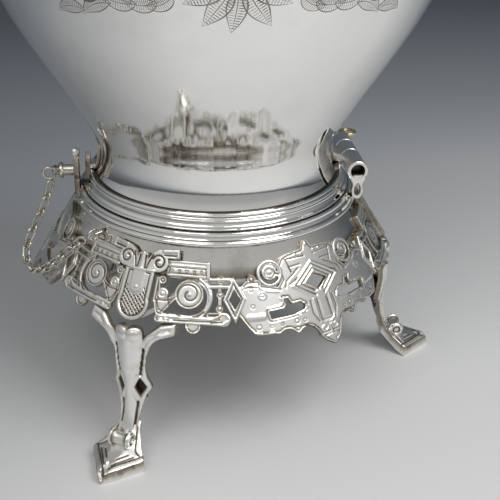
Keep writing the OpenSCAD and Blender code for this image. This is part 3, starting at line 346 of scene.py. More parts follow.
# Pierced apron
# Three castings of strapwork, chased and soldered between the legs. The drawing is made of
# straps, scrolls and studs, in degrees round from the leg and millimetres down the slope.
class Drawing:
    """Distances from the shapes of a drawing, less than 0 inside them, and what chasing does"""
    relief = 0.42

    def __init__(self, place, a, s):
        self.place = place
        self.x, self.y = place(a, s)
        self.raised = np.zeros(self.x.shape)
        self.sunk = np.zeros(self.x.shape)

    def disc(self, a, s, r):
        x, y = self.place(a, s)
        return np.hypot(self.x - x, self.y - y) - r

    def hoop(self, a, s, r, half):
        return np.abs(self.disc(a, s, r)) - half

    def sides(self, points, closed):
        """Distance from the sides of a line or loop, and what lies inside the loop"""
        xs, ys = self.place(*np.array(points, float).T)
        ends = list(zip(xs, ys))
        near = np.full(self.x.shape, 1e9)
        inside = np.zeros(self.x.shape, bool)
        for (x0, y0), (x1, y1) in zip(ends, ends[1:] + ends[:1] if closed else ends[1:]):
            dx, dy = x1 - x0, y1 - y0
            t = ((self.x - x0) * dx + (self.y - y0) * dy) / (dx * dx + dy * dy + 1e-12)
            t = np.clip(t, 0, 1)
            near = np.minimum(near, np.hypot(self.x - x0 - t * dx, self.y - y0 - t * dy))
            crosses = (y0 > self.y) != (y1 > self.y)
            inside ^= crosses & (self.x < (self.y - y0) * dx / (dy or 1e-12) + x0)
        return near, inside

    def strap(self, points, half=0.0):
        return self.sides(points, False)[0] - half

    def plate(self, points):
        near, inside = self.sides(points, True)
        return np.where(inside, -near, near)

    def put(self, field, height, soft=0.45):
        """Raises the metal inside a shape, rounded over its rim"""
        t = np.clip(-field / soft, 0, 1)
        self.raised = np.maximum(self.raised, height * self.relief * np.sqrt(t * (2 - t)))

    def stud(self, a, s, r):
        self.put(self.disc(a, s, r * 0.4), r * 0.3, r * 0.4)
        self.score(self.disc(a, s, r * 0.85), 0.24, 0.3)

    def score(self, field, depth=0.36, half=0.34):
        """Sinks a line along the rim of a shape"""
        groove = np.clip(1 - np.abs(field) / half, 0, 1) ** 0.7
        self.sunk = np.minimum(self.sunk, -0.7 * depth * groove)

    def height(self, edge, soft=0.36, drop=0.07):
        """What has been raised and sunk, the outer edge worn down, tarnish and painted shade in the
        lines, painted shade at the edge
        """
        worked = np.where(self.raised > 0.02, self.raised, self.sunk)
        # Painted shade and tarnish darken the sunk lines, and painted shade darkens the metal near
        # the outline's edge.
        self.tarnish_and_shade = np.clip(np.maximum(-worked * 4.2, 0.7 * (1 + edge / 0.32)), 0, 0.95)
        return worked - drop * np.clip(1 + edge / soft, 0, 1) ** 2


def round_cone(a, s):
    """The cone rolled flat: degrees round and millimetres down the slope as x and y"""
    spin, far = np.radians(np.asarray(a, float)) * OUT[1], APEX + np.asarray(s, float)
    return far * np.sin(spin), far * np.cos(spin)


def curl(a, s, r0, r1, start, end, degree=1.3, count=40):
    """Points of a spiral on the cone, where a degree is about 1.3 mm wide"""
    return [(a + r * math.cos(t) / degree, s - r * math.sin(t)) for r, t in
            zip(np.linspace(r0, r1, count), np.radians(np.linspace(start, end, count)))]


def union(*fields):
    return np.minimum.reduce(fields)


# What both the outline and the chasing of the apron are built on
SCROLL = (17.2, 19.9)
LOZENGE = [(31.3, 12.0), (34.95, 21.9), (31.3, 32.1), (27.65, 21.9)]
VOLUTE = (43.7, 12.0)
SQUARE = [(50.0, 19.8), (60, 10.4), (70, 19.8), (60, 29.4)]


def apron_outline(p):
    # The large scroll beside the leg, open round its eye, with its bars and straps
    well = np.maximum(p.plate(flow([(20.7, 15.6), (22.3, 17.8), (22.9, 21.2), (22.3, 24.6),
                                    (20.6, 27.2), (18.0, 28.5)], 4)
                              + [(9.6, 28.5), (11.0, 26.0), (12.4, 23.4), (15, 20), (19, 18)]),
                      -p.disc(*SCROLL, 6.0))
    rim = np.maximum(p.disc(17.0, 20.8, 10.1), -p.plate([
        (2, 6), (20.6, 6), (20.2, 14.2), (17, 20), (13.4, 27), (2, 27)]))
    scroll = union(
        np.maximum(union(rim, p.disc(*SCROLL, 6.0), p.plate(
            [(6.6, 22.6), (9.6, 22.4), (11.6, 21.6), (13.4, 19.8), (14, 24), (12.2, 27), (13, 29.6),
             (7.6, 29.8), (6.8, 27.4), (6.2, 24)])), -well),
        p.disc(8.7, 20.6, 2.5), p.plate([(5.9, 14), (7.2, 14), (7.6, 18.4), (8.2, 24), (5.9, 25)]),
        p.disc(8.0, 15.0, 1.7), p.strap([(8.5, 31), (28.3, 31)], 1.7),
        p.strap([(23.6, 28.2), (27.4, 28.2)], 1.2), p.disc(27.9, 29.9, 2.9),
        p.disc(19.0, 32.7, 3.2), p.plate([(9, 6.3), (23, 6.3), (23, 13.2), (9, 13.2)]),
        p.strap([(23, 6.9), (23.1, 12.6)], 0.95),
        p.plate([(20, 12.8), (31, 12.8), (31, 14.3), (20, 14.3)]),
        p.plate([(21.6, 15.6), (31, 15.9), (31, 17.3), (21.6, 17.2)]),
        p.plate([(26.3, 16.8), (27.3, 16.8), (27.3, 29), (26.3, 29)]),
        p.disc(26.9, 19.6, 1.5), p.disc(26.7, 25.4, 1.6))
    # The lozenge that joins the scroll to the plain field, with its studs
    lozenge = union(
        p.plate(LOZENGE),
        p.disc(27.2, 13.6, 1.7), p.disc(37.3, 13.9, 1.8),
        p.plate([(35, 14.8), (36, 14.5), (39, 14.5), (40.2, 14.9), (40.4, 18), (32.6, 18)]))
    # The field, with its window and the two scallops in its lower edge
    field = p.plate([(31.9, 16.6), (40.6, 16.6), (46.4, 18.8), (56, 22), (61, 22), (61, 39.6),
                     (54.6, 39.6), (48.5, 38.9), (43, 37.7), (37.6, 37.4), (35.6, 35),
                     (34, 31.8), (32.4, 28.4)])
    window = p.plate([(41.6, 28.2), (46.6, 27.9), (47.3, 26.6), (47, 23.6), (48.3, 23.8),
                      (49.3, 26.6), (52.3, 26.5), (53.7, 28), (53.2, 29.8), (49, 31), (42, 31.4)])
    scallops = union(p.disc(46.3, 41.3, 4.7), p.disc(52.6, 42.4, 5.1))
    field = np.maximum(field, -union(window, scallops))
    # A volute and a wing over the field, and bars that bridge to it
    volute = union(np.maximum(p.disc(43.8, 12.3, 5.7), -p.disc(43.7, 12.8, 4.1)),
                   p.disc(*VOLUTE, 3.3), p.strap([VOLUTE, (47.4, 13.6)], 1.1))
    wing = p.plate([(46.6, 10.6), (48.6, 7), (50, 6.2), (52, 5.6), (61, 5.4), (61, 24), (47, 24),
                    (45.6, 18.8), (47.6, 16)])
    bars = union(p.strap([(35.4, 29.8), (39.9, 29.8)], 2.5),
                 p.strap([(37.9, 34.8), (44, 34.8)], 2.6))
    # The pendant on the apron's middle line: a square on its corner, its crown, tail and tip
    pendant = union(
        p.plate(SQUARE),
        p.plate([(52, 5.6), (57.4, 5.0), (58.8, 1.8), (61.2, 1.8), (62.6, 5), (68, 5.6),
                 (68, 15), (52, 15)]),
        p.plate([(53.4, 23), (66, 23), (65.6, 38), (64.4, 40), (63.6, 43), (56.4, 43),
                 (55.6, 40), (54.4, 38)]),
        p.plate([(56, 42.4), (64, 42.4), (62.4, 45.4), (60, 48), (57.6, 45.4)]))
    eye = p.plate([(55.7, 19.8), (60, 16.4), (64.3, 19.8), (60, 23.3)])
    light = p.plate([(31.4, 17.9), (33.2, 21.9), (31.4, 26.0), (29.6, 21.9)])
    return np.maximum(union(scroll, lozenge, field, volute, wing, bars, pendant),
                      -union(eye, light))


def apron_chasing(p, edge):
    # A line that follows the whole outline
    p.score(edge + 0.95, 0.34, 0.38)
    # The plain bar over the scroll: three ribs and a row of punched dots
    in_bar = p.plate([(9, 6.3), (22.3, 6.3), (22.3, 13.2), (9, 13.2)])
    for level, half, height in ((6.95, 0.55, 0.7), (8.45, 0.5, 0.6), (12.45, 0.5, 0.65)):
        p.put(np.maximum(p.strap([(9.4, level), (22.2, level)], half), in_bar), height, half)
    for place in (10.6, 13.2, 15.8, 18.4, 20.8):
        p.score(p.disc(place, 10.5, 0.5), 0.3, 0.3)
    p.put(p.strap([(23, 6.9), (23.1, 12.6)], 0.9), 0.95, 0.9)
    # The scroll and the small bosses and rings
    p.put(p.disc(*SCROLL, 0.9), 0.6, 0.9)
    p.score(p.strap(curl(*SCROLL, 1.1, 4.9, 120, 560)), 0.42, 0.42)
    p.put(p.disc(8.7, 20.6, 0.8), 0.6, 0.8)
    p.put(p.disc(10.6, 30.9, 0.8), 0.55, 0.8)
    p.put(p.disc(40.2, 21.2, 0.8), 0.45, 0.7)
    for a, s, r, half in ((8.7, 20.6, 1.75, 0.36), (40.2, 21.2, 1.45, 0.35),
                          (43.8, 12.3, 4.95, 0.6)):
        p.put(p.hoop(a, s, r, half), 0.55, half)
    # Raised beads along the straps
    for line, half, height in (
            (curl(17.0, 20.8, 8.6, 9.0, 60, -40), 0.5, 0.7),
            ([(8.4, 29.9), (24.4, 29.9), (27.2, 27.9)], 0.42, 0.5),
            ([(8.4, 32.1), (27.4, 32.1), (29.6, 30.4), (28.9, 28.2), (27.4, 27.6)], 0.5, 0.6),
            (curl(19.2, 33.1, 2.6, 2.6, 190, 350), 0.45, 0.5),
            ([(23.6, 13.55), (29.6, 13.55)], 0.6, 0.55), ([(23.6, 16.5), (29.6, 16.5)], 0.6, 0.55),
            ([(33.6, 17.6), (36.4, 16.4), (39.4, 17.2), (41, 19.4), (45.6, 20.6)], 0.36, 0.4),
            ([(41.4, 26.9), (45.9, 26.4), (46.6, 24.9), (45.9, 23.4)], 0.42, 0.5),
            ([(35.5, 29.8), (39.7, 29.8)], 1.5, 0.75),
            ([(36.3, 36.2), (39, 37.0), (42.4, 36.9)], 0.42, 0.45),
            ([(42.4, 31.9), (48, 31.6), (52.6, 30.9), (54.2, 29.4), (53.4, 27.4)], 0.42, 0.5),
            (curl(*VOLUTE, 2.2, 3.0, 20, 300), 0.34, 0.6),
            ([(56.9, 27), (57, 35.4), (58, 37.6), (60, 38.3)], 0.36, 0.45),
            (curl(58.1, 40.0, 0.4, 1.9, 0, 430), 0.36, 0.6), ([(60, 39.4), (60, 43)], 0.5, 0.5)):
        p.put(p.strap(line, half), height, half)
    for a, s, r in ((26.9, 19.6, 1.3), (26.7, 25.4, 1.4), (27.2, 13.6, 1.5), (37.3, 13.9, 1.6),
                    (36.8, 18.5, 0.8), (36.8, 25.4, 0.85), (38.0, 34.2, 1.2), (41.8, 34.4, 0.7),
                    (45.2, 34.2, 0.7), (49.8, 34.2, 1.1), (52.4, 34.6, 0.8), (*VOLUTE, 1.5)):
        p.stud(a, s, r)
    # The lozenge and the pendant have raised borders with cut lines between them.
    diamond = p.plate(LOZENGE)
    square = p.plate(SQUARE)
    tail = p.plate([(58.4, 23.8), (61.6, 23.8), (61.6, 36.2), (58.4, 36.2)])
    for field, height, soft in (
            (np.abs(diamond + 0.7) - 0.55, 0.9, 0.5), (np.abs(diamond + 2.2) - 0.42, 0.7, 0.4),
            (np.abs(square + 0.75) - 0.55, 0.85, 0.5),
            (np.abs(square + 2.5) - 0.42, 0.7, 0.42), (np.abs(square + 4.1) - 0.45, 0.6, 0.42),
            (tail, 0.75, 0.7), (p.disc(54.6, 6.9, 0.7), 0.4, 0.7),
            (p.disc(57.2, 6.9, 0.7), 0.4, 0.7),
            (p.plate([(57.6, 43.6), (60, 43.2), (62.4, 43.6), (60, 46.9)]), 0.4, 0.8),
            (p.disc(60, 3.6, 0.9), 0.6, 0.9)):
        p.put(field, height, soft)
    for field, depth in ((diamond + 1.45, 0.3), (square + 1.65, 0.35), (square + 3.25, 0.3),
                         (tail - 0.5, 0.35), (p.disc(17.0, 20.8, 8.7), 0.3),
                         (p.strap([(13.2, 31.0), (27.4, 31.0)]), 0.4),
                         (p.strap([(9.2, 9.3), (22, 9.3)]), 0.3),
                         (p.strap([(9.2, 11.65), (22, 11.65)]), 0.3)):
        p.score(field, depth)
    # Short cuts in the wing, the field and the scroll's end
    for line in ([(50, 8), (58, 8.2)], [(51, 11.4), (55.6, 11.2)], [(50.4, 8), (51.6, 13.8)],
                 [(54.6, 12.6), (49, 17.2), (48.4, 19.6)], [(56.6, 14.8), (50.2, 18.6)],
                 [(48.4, 36.6), (53, 36.9), (54.8, 38.6)], [(55.8, 27.4), (55.6, 33), (57, 37)],
                 [(7.0, 23.4), (8.2, 27.4), (11.4, 28.6)], [(35.2, 29.8), (40.1, 29.8)]):
        p.score(p.strap(line))
    return p.height(edge)


def chase(place, a_line, s_line, outline, chasing, step, degree=None, about=0.0):
    """Net of points whose rim follows the outline, mirrored about one line, with its heights"""
    a, s = np.meshgrid(a_line, s_line, indexing="ij")
    # Points near the outline are pulled on to it, along the way in which the distance grows.
    unit = degree(s) if degree else 1.0
    nudge = 0.02
    d = outline(Drawing(place, a, s))
    da = (outline(Drawing(place, a + nudge / unit, s)) - d) / nudge
    ds = (outline(Drawing(place, a, s + nudge)) - d) / nudge
    size = np.maximum(np.hypot(da, ds), 0.3) ** 2
    close = np.abs(d) < 0.56 * step
    middle = np.abs(a - about) < 1e-9
    a = np.where(close & ~middle, a - d * da / size / unit, a)
    s = np.where(close, s - d * ds / size, s)
    p = Drawing(place, a, s)
    d = np.where(close, 0.0, outline(p))
    high = chasing(p, d)
    # The half that was drawn is mirrored, and the two are joined on their middle line.
    nets = [np.stack([2 * about - a, s, high, d, p.tarnish_and_shade])[:, ::-1],
            np.stack([a, s, high, d, p.tarnish_and_shade])]
    if a_line[0] < about - 1e-9:
        nets = [nets[1], nets[0]]
    a, s, high, d, tarnish_and_shade = np.concatenate([nets[0], nets[1][:, 1:]], axis=1)
    # Cells with all four corners in the outline are kept whole, and those with three are halved.
    keep = d <= 1e-6
    index = np.arange(a.size).reshape(a.shape)
    corners = [np.s_[:-1, :-1], np.s_[1:, :-1], np.s_[1:, 1:], np.s_[:-1, 1:]]
    cells = np.stack([index[c] for c in corners], -1)
    held = np.stack([keep[c] for c in corners], -1)
    faces = cells[held.all(-1)].tolist()
    three = held.sum(-1) == 3
    faces += [cell[h].tolist() for cell, h in zip(cells[three], held[three])]
    used = np.unique(np.concatenate([np.ravel(f) for f in faces]))
    number = dict(zip(used.tolist(), range(len(used))))
    faces = [[number[i] for i in f] for f in faces]
    return a.ravel()[used], s.ravel()[used], high.ravel()[used], faces, tarnish_and_shade.ravel()[used]


def casting(net, wrap, thick):
    """Solid metal from a net: chased front, plain back and the wall between them"""
    a, s, high, faces, tarnish_and_shade = net
    count = len(a)
    rim = {}
    for face in faces:
        for i, j in zip(face, face[1:] + face[:1]):
            if rim.pop((j, i), None) is None:
                rim[(i, j)] = True
    points = np.concatenate([wrap(a, s, high), wrap(a, s, np.full(count, -float(thick)))])
    walls = [(j, i, i + count, j + count) for i, j in rim]
    backs = [[i + count for i in reversed(face)] for face in faces]
    # The backs are painted dark, as painted shade behind the castings.
    return points, faces + walls + backs, np.concatenate([tarnish_and_shade, np.full(count, 0.55)])


def on_stand(lift):
    """Lays a net on the skirt's cone"""
    def wrap(a, s, h):
        r, z = cone(s, lift + h)
        return np.stack([r * np.cos(np.radians(a)), r * np.sin(np.radians(a)), z], 1)
    return wrap


def three_castings(kind, places, shells, sharp):
    """The same casting three times round the stand, each for the CAD node of its place"""
    pattern = piece(kind, shells, cast_silver, sharp)
    for place, turn in zip(places, (240, 120, 0)):
        part = pattern.copy()
        part.name, part.data = f"{kind}_{place}_casting", pattern.data.copy()
        part.data.transform(Matrix.Rotation(math.radians(turn), 4, "Z"))
        bpy.context.collection.objects.link(part)
        settle(part, "stand", "silver", f"{kind}_{place}")
    bpy.data.objects.remove(pattern)


APRON_NET = 0.33
cast_silver = silver("cast_silver", tarnish=0.4, low=0.31, high=0.6, grain=0.012, size=150,
                     bright=(0.9, 0.89, 0.865), worn=(0.77, 0.745, 0.68))


def degree_width(s):
    """How wide a degree is, s down the cone's slope"""
    return np.radians(1) * cone(s)[0]


apron_net = chase(round_cone, np.linspace(5.2, 60, 228), np.arange(1.2, 48.8, APRON_NET),
                  apron_outline, apron_chasing, APRON_NET, degree_width, 60)
three_castings("apron", ("front", "lock", "back"), [casting(apron_net, on_stand(0.0), 1.8)], 46)


# Crests
# Over each leg sits a cast silver shield with a tongue, a cross-hatched field and a volute on
# either side. It is soldered on the apron, where two sections meet.
def crest_outline(p):
    shield = union(p.plate([(-5.2, 12.7), (5.35, 12.7), (4.98, 26.7), (-4.9, 26.7)]),
                   p.disc(0, 26.7, 7.3))
    volute = union(p.disc(6.1, 8.3, 4.1), p.plate([
        (1.2, 9), (3.4, 4.6), (5.4, 3), (12.9, 1.8), (13.2, 6), (9, 6.1), (6, 12.4), (1.2, 12.9)]))
    tongue = p.plate([(-1.8, 5.6), (0, 4.4), (1.8, 5.6), (2.6, 13.5), (-2.6, 13.5)])
    return union(shield, volute, tongue)


def crest_chasing(p, edge):
    # The shield's border, its tongue, and the lattice of cuts between them
    across, down = p.x, p.y - APEX
    shield = union(p.plate([(-5.2, 11.7), (5.35, 11.7), (4.98, 26.7), (-4.9, 26.7)]),
                   p.disc(0, 26.7, 7.3))
    tongue = union(p.plate([(-2.3, 12.6), (2.3, 12.6), (2.2, 19.4), (-2.2, 19.4)]),
                   p.disc(0, 19.4, 2.9))
    mesh = np.maximum(np.cos(math.pi * (across + down) / 0.95),
                      np.cos(math.pi * (across - down) / 0.95))
    field = np.clip(-(shield + 1.9) / 0.3, 0, 1) * np.clip((tongue - 0.7) / 0.3, 0, 1)
    p.sunk = np.minimum(p.sunk, -0.24 * field * np.clip((down - 19) / 0.5, 0, 1)
                        * (1 - np.clip((mesh - 0.2) / 0.6, 0, 1)))
    p.put(np.abs(shield + 0.85) - 0.75, 0.8, 0.6)
    p.score(shield + 1.85, 0.5, 0.34)
    p.put(tongue, 0.6, 0.5)
    for level in (14.6, 17.2):
        p.score(p.disc(0, level, 0.7), 0.4, 0.3)
    p.put(p.disc(0, 19.8, 0.8), 1.2, 0.8)
    # The volute and the plume above it
    p.score(p.strap(curl(6.1, 8.3, 0.9, 3.3, 90, 520)), 0.5, 0.44)
    p.put(p.disc(6.2, 8.5, 0.9), 0.9, 0.9)
    p.put(p.plate([(6.8, 2.6), (12.9, 1.9), (13.1, 3.4), (7, 4.2)]), 0.55, 0.4)
    p.put(p.strap([(12.6, 2.4), (12.8, 5.5)], 0.7), 0.7, 0.7)
    p.put(p.strap([(0, 5.2), (0, 12)], 0.8), 0.5, 0.7)
    p.score(p.strap([(7.8, 5.0), (11.9, 4.7)]), 0.5, 0.4)
    p.score(p.strap([(1.9, 12), (2.6, 8.6), (3.6, 5.6)]), 0.45, 0.4)
    p.score(p.strap([(1.1, 6.4), (1.4, 12)]), 0.5, 0.42)
    return p.height(edge)


CREST_NET = 0.28
crest_net = chase(round_cone, np.linspace(0, 13.8, 62), np.arange(1.2, 35.2, CREST_NET),
                  crest_outline, crest_chasing, CREST_NET, degree_width)
three_castings("crest", ("front", "back", "hinge"), [casting(crest_net, on_stand(1.68), 1.55)],
               46)


# Legs
# Each leg is one silver casting: a strap with a rounded head, two rods that spread to the apron
# and part round a lozenge at the knee, and a pointed foot, hollow behind, with a scroll across
# it. It is soldered under the crest.
def flat(a, s):
    """A flat drawing, whose two measures are millimetres already"""
    return np.asarray(a, float), np.asarray(s, float)


def flat_net(outline, chasing, width, low, high, step):
    """Net of a flat drawing, as wide as that on either side of its middle line"""
    return chase(flat, np.arange(0, width, step), np.arange(low, high, step), outline, chasing,
                 step)


def leg_outline(p):
    shaft = union(
        p.plate([(-2, 61), (6.2, 60.5), (6.8, 57), (8.0, 54), (7.6, 49), (7.2, 43), (7.5, 38.4),
                 (9.3, 33.2), (7.0, 29.4), (5.5, 24), (4.6, 18), (4.7, 13), (6, 8), (-2, 8)]),
        p.disc(2.9, 59.6, 3.7))
    arm = p.plate(flow([(4.4, 54.4), (6.4, 57.8), (9.2, 61.2), (13.4, 64.9)], 4)
                  + [(19.6, 66.3), (20.4, 61.8)]
                  + flow([(20.4, 61.8), (15.0, 59.9), (11.0, 56.8), (8.4, 51.4), (7.2, 48)], 4))
    hole = p.plate([(4.6, 38.2), (6.9, 33.4), (4.6, 28.4), (2.5, 33.4)])
    return np.maximum(union(shaft, arm), -hole)


def leg_chasing(p, edge):
    # A rounded tongue down the middle, a boss on the head, rods on the rim, and two cut slots
    tongue = p.plate([(x, z) for x, z in flow(
        [(5.7, 60), (5.8, 55), (4.6, 47), (3.0, 40), (1.9, 33.4), (2.3, 27), (2.5, 20), (3.2, 12)],
        3)] + [(-4, 10), (-4, 60)])
    head = p.disc(2.9, 59.5, 3.1)
    p.put(tongue, 2.2, 3.4)
    p.raised = np.maximum(p.raised, 1.7 * np.sqrt(np.clip(1 - (head + 3.1) ** 2 / 9.7, 0, 1)))
    p.put(np.abs(edge + 1.2) - 1.15, 1.5, 1.1)
    for line in ([(6.5, 53), (5.8, 46), (5.0, 40)], [(3.6, 26), (3.3, 20), (3.3, 14)]):
        slot = p.strap(flow(line, 3))
        p.raised = p.raised * np.clip((slot - 0.5) / 0.5, 0, 1)
        p.score(slot, 0.7, 0.62)
    return p.height(edge, 0.5, 0.4)


# The leg's front line from the crest to the foot, as distance from the middle and height
RIDGE = np.array(flow([(86.1, 68), (86.6, 60), (86.9, 52), (87.3, 44), (86.5, 33), (87.7, 21),
                       (91.5, 12), (95.5, 7)], 6))[::-1]


def on_leg(u, z, h):
    """Bends a net along the leg's ridge, and its two arms round against the apron"""
    back = 0.554 * (np.sqrt(u * u + 1.6) - math.sqrt(1.6))
    shaft = np.interp(z, RIDGE[:, 1], RIDGE[:, 0]) - back
    arm = np.sqrt(np.maximum((SKIRT_R + (SKIRT_Z - z) * FLARE - 0.8) ** 2 - u * u, 1)) - 0.6
    arm = np.minimum(arm, 84.6 - 0.13 * (np.abs(u) - 6))
    share = np.clip((np.abs(u) - 4.5) / 4.5, 0, 1) * np.clip((z - 48) / 6, 0, 1)
    share = share * share * (3 - 2 * share)
    side = np.clip(u / 3, -1, 1) * (1 - share)
    return np.stack([shaft * (1 - share) + arm * share + h * 0.92, u + side * 0.42 * h, z], 1)


def foot_outline(p):
    return p.plate(flow([(-1, 112.9), (0.6, 112.8), (2, 111.6)], 2) + [(11.6, 99.2), (12.6, 97.6)]
                   + flow([(11.8, 96.4), (8.4, 92.4), (6.0, 88.6), (5.2, 86)], 3) + [(-1, 86)])


def foot_chasing(p, edge):
    # The top slopes from the heel to the toe, with cut lines and a notch in the point.
    top = np.interp(p.y, [86, 88, 89.7, 92, 95.5, 99, 104, 108, 113],
                    [17.5, 15.6, 13.6, 11.4, 9.6, 8.4, 7.1, 6.2, 5.2])
    top = top - 0.3 * np.clip(p.x - 3.0, 0, 20)
    toe = p.strap([(0, 113), (12.7, 97.4)])
    p.score(toe - 1.9, 0.5, 0.5)
    for line in ([(1.8, 106.6), (7.9, 98.6)], [(2.4, 103.2), (5.6, 98.9)],
                 flow([(9.8, 96.8), (7.4, 95.6), (6.0, 92.6), (4.4, 88.2)], 4)):
        p.score(p.strap(line), 0.5, 0.5)
    notch = np.clip(1 - p.x / (0.35 + 1.3 * np.clip((p.y - 105.5) / 7.5, 0, 1)), 0, 1)
    deep = notch ** 0.6 * 3.6 * np.clip((p.y - 105) / 4, 0, 1)
    return top + p.height(edge, 0.5, 0.3) - deep


def on_foot(u, x, h):
    """Lays a net on the table, with the top at the height given and the heel hollowed out"""
    hollow = np.interp(x, [86, 90, 94, 98], [11, 6.4, 2.4, 0])
    return np.stack([x, u, np.where(h > 0, h, hollow)], 1)


leg_net = flat_net(leg_outline, leg_chasing, 21.2, 7.8, 67.4, 0.36)
foot_net = flat_net(foot_outline, foot_chasing, 13.4, 85.8, 113.6, 0.36)
# The scroll's ends are painted dark in the hollows of the curl, as painted shade.
scroll_end = [(0, 5.6), (1.0, 5.4), (1.4, 4.9, 0.9), (1.8, 4.8, 0.9), (2.3, 5.3), (3.1, 5.3),
              (3.7, 4.7)]
scroll = lathe([*scroll_end, (3.8, 4.0), (3.2, 3.3, 0.9), (2.8, 2.9, 0.6), (2.6, 1.2),
                (2.6, -1.2), (2.8, -2.9, 0.6), (3.2, -3.3, 0.9), (3.8, -4.0),
                *[(q[0], -q[1], *q[2:]) for q in scroll_end[::-1]]], 48,
               stood(94.6, 0, 11.9, "Y"))
# A dark plate closes the knee's lozenges from behind, painted dark as painted shade where the inside
# of a hollow leg would be.
facing_out = Matrix(((0, 0, 1, 0), (1, 0, 0, 0), (0, 1, 0, 0), (0, 0, 0, 1)))
shade_plate = slab([(-6.4, 27), (6.4, 27), (6.4, 40), (-6.4, 40)], 0.8,
           Matrix.Translation((81.6, 0, 0)) @ facing_out)
shade_plate = (*shade_plate, np.ones(len(shade_plate[0])))
foot = casting(foot_net, on_foot, 0)
# The underside of the foot is kept free of the painted shade that the other castings' backs get.
foot[2][len(foot[2]) // 2:] = 0
three_castings("leg", ("front", "back", "hinge"),
               [casting(leg_net, on_leg, 2.4), foot, scroll, shade_plate], 44)


# Lock lug and hinge tubes on the stand
# The lug is a cast upright with a ball on top, bored for the lock pin. Two short tubes on the
# spout side, each on a pierced drop, take the tilt hinge's pin.
def axis_place(joint_name):
    """Where the frame has a joint's axis, in millimetres"""
    joint = next(joint for joint in frame["joints"] if joint["name"] == joint_name)
    return [round(1000 * way, 1) for way in joint["pos_m"]]


HINGE_X, _, HINGE_Z = axis_place("kettle_tilt")
LOCK_Z = 104.3
LOCK_BORE = 2.66


def plain_chasing(p, edge):
    """No drawing, only the edge worn round"""
    return p.height(edge, 0.5, 0.35)


def lug_outline(p):
    body = p.plate(flow([(-1, 95.2), (4.8, 95.2), (4.4, 99.6), (3.5, 101.6), (4.3, LOCK_Z),
                         (3.8, 107.3), (1.7, 111.3), (-1, 112.2)], 5))
    return np.maximum(body, -p.disc(0, LOCK_Z, LOCK_BORE))


def hinge_tube(y0, y1):
    bore, r, edge = 3.16, 4.75, 0.35
    # The bore's mouths and the end at y1, which meets the next tube, are painted dark as painted
    # shade.
    line = [(bore, y0 + 0.3, 1), (3.36, y0, 0.3), (r - edge, y0), (r, y0 + edge),
            (r, y1 - edge), (r - edge, y1, 0.6), (3.4, y1, 0.6), (bore, y1 - 0.2, 1)]
    return lathe(line, 72, stood(HINGE_X, 0, HINGE_Z, "Y"))


def drop_outline(p):
    drop = p.plate(flow([(0, 94.4), (1.7, 95.4), (2.8, 98.6), (2.3, 101.6), (3.4, 105.4),
                         (-1, 106), (-1, 94.4)], 4))
    return np.maximum(drop, -p.plate(flow([(-0.2, 96.2), (1.1, 97.2), (1.5, 99), (1.0, 101.2),
                                           (-0.2, 102.2), (-0.3, 99)], 3)))


def upright(x, y, facing="X"):
    """Stands a net on edge, with its front away from X or Y"""
    def wrap(a, s, h):
        return np.stack([x - h, y + a, s] if facing == "X" else [x + a, y - h, s], 1)
    return wrap


lug_net = flat_net(lug_outline, plain_chasing, 5.4, 94.6, 112.8, 0.24)
lug = piece("lock_lug_casting", [
    casting(lug_net, upright(-66.3, 0), 2.4),
    lathe([(0, -2.1), *bow(0, 0, 2.1, -80, 80, 17), (0, 2.1)], 40, stood(-65.1, 0, 113.1)),
    lathe([(0, 0), (1.9, 0), (1.5, 0.7), (1.9, 1.2), (0, 1.2)], 32, stood(-65.1, 0, 110.4))],
    cast_silver, 40)
settle(lug, "stand", "silver", "stand_lock_lug")

drop_net = flat_net(drop_outline, plain_chasing, 3.8, 94.0, 106.4, 0.2)
for name, node, low_y, high_y, drop_y in (
        ("hinge_tube_near", "stand_tube_near", -21, -4.1, -20.8),
        ("hinge_tube_far", "stand_tube_far", 9.1, 21, 18.4)):
    part = piece(name, [hinge_tube(low_y, high_y),
                        casting(drop_net, upright(63.9, drop_y, "Y"), 2.4)], cast_silver, 40)
    settle(part, "stand", "silver", node)


# Chain
# Drawn silver wire: long and round links by turns hang in a loop from the lock pin to an eye
# on the skirt, so the pin can't be lost. The eye's spike is soldered through the skirt.
silver_wire = silver("drawn_silver", tarnish=1.2, low=0.15, high=0.4, grain=0.03, size=220,
                     bright=(0.66, 0.63, 0.57), worn=(0.55, 0.52, 0.46))
EYE_TURN, EYE_Z = 217, 90.8
eye = piece("chain_eye_wire", [
    lathe([(0, 0), (1.3, 0), (1.3, 6.2), (0.9, 7.2), (0.7, 8.2), (0, 8.4)], 32,
          stood(61.6, 0, EYE_Z, "X", EYE_TURN)),
    wire_ring(2.3, 0.6, stood(70.65, 0, EYE_Z, "Y", EYE_TURN))], silver_wire)
settle(eye, "stand", "silver", "chain_eye")

# The chain's way, from the pin to the eye: how far off the cone, how far along Y, and how high
# above the skirt's top.
route = []
for off, y, up in ((14.9, 0, 3.6), (13.2, -1, -2), (11.7, -3, -10), (11.1, -7, -19),
                   (9.0, -13, -26.5), (5.6, -21, -29.5), (3.9, -27.6, -27), (4.2, -33, -21.4),
                   (4.8, -37.4, -15), (4.8, -40, -8.4), (4.6, -41.6, -4.6)):
    route.append((-math.sqrt((SKIRT_R - up * FLARE + off) ** 2 - y * y), y, SKIRT_Z + up))
route = np.array(flow(route, 8))
lengths = np.concatenate([[0], np.cumsum(np.linalg.norm(np.diff(route, axis=0), axis=1))])
LINK_STEP = 4.1
LINK_SIZES = {"Wire": 0.0012, "Long link": 0.0074, "Link width": 0.0036, "Round link": 0.0019}


def along(distance):
    """The place at a distance from the pin"""
    return Vector([np.interp(distance, lengths, route[:, k]) for k in range(3)])


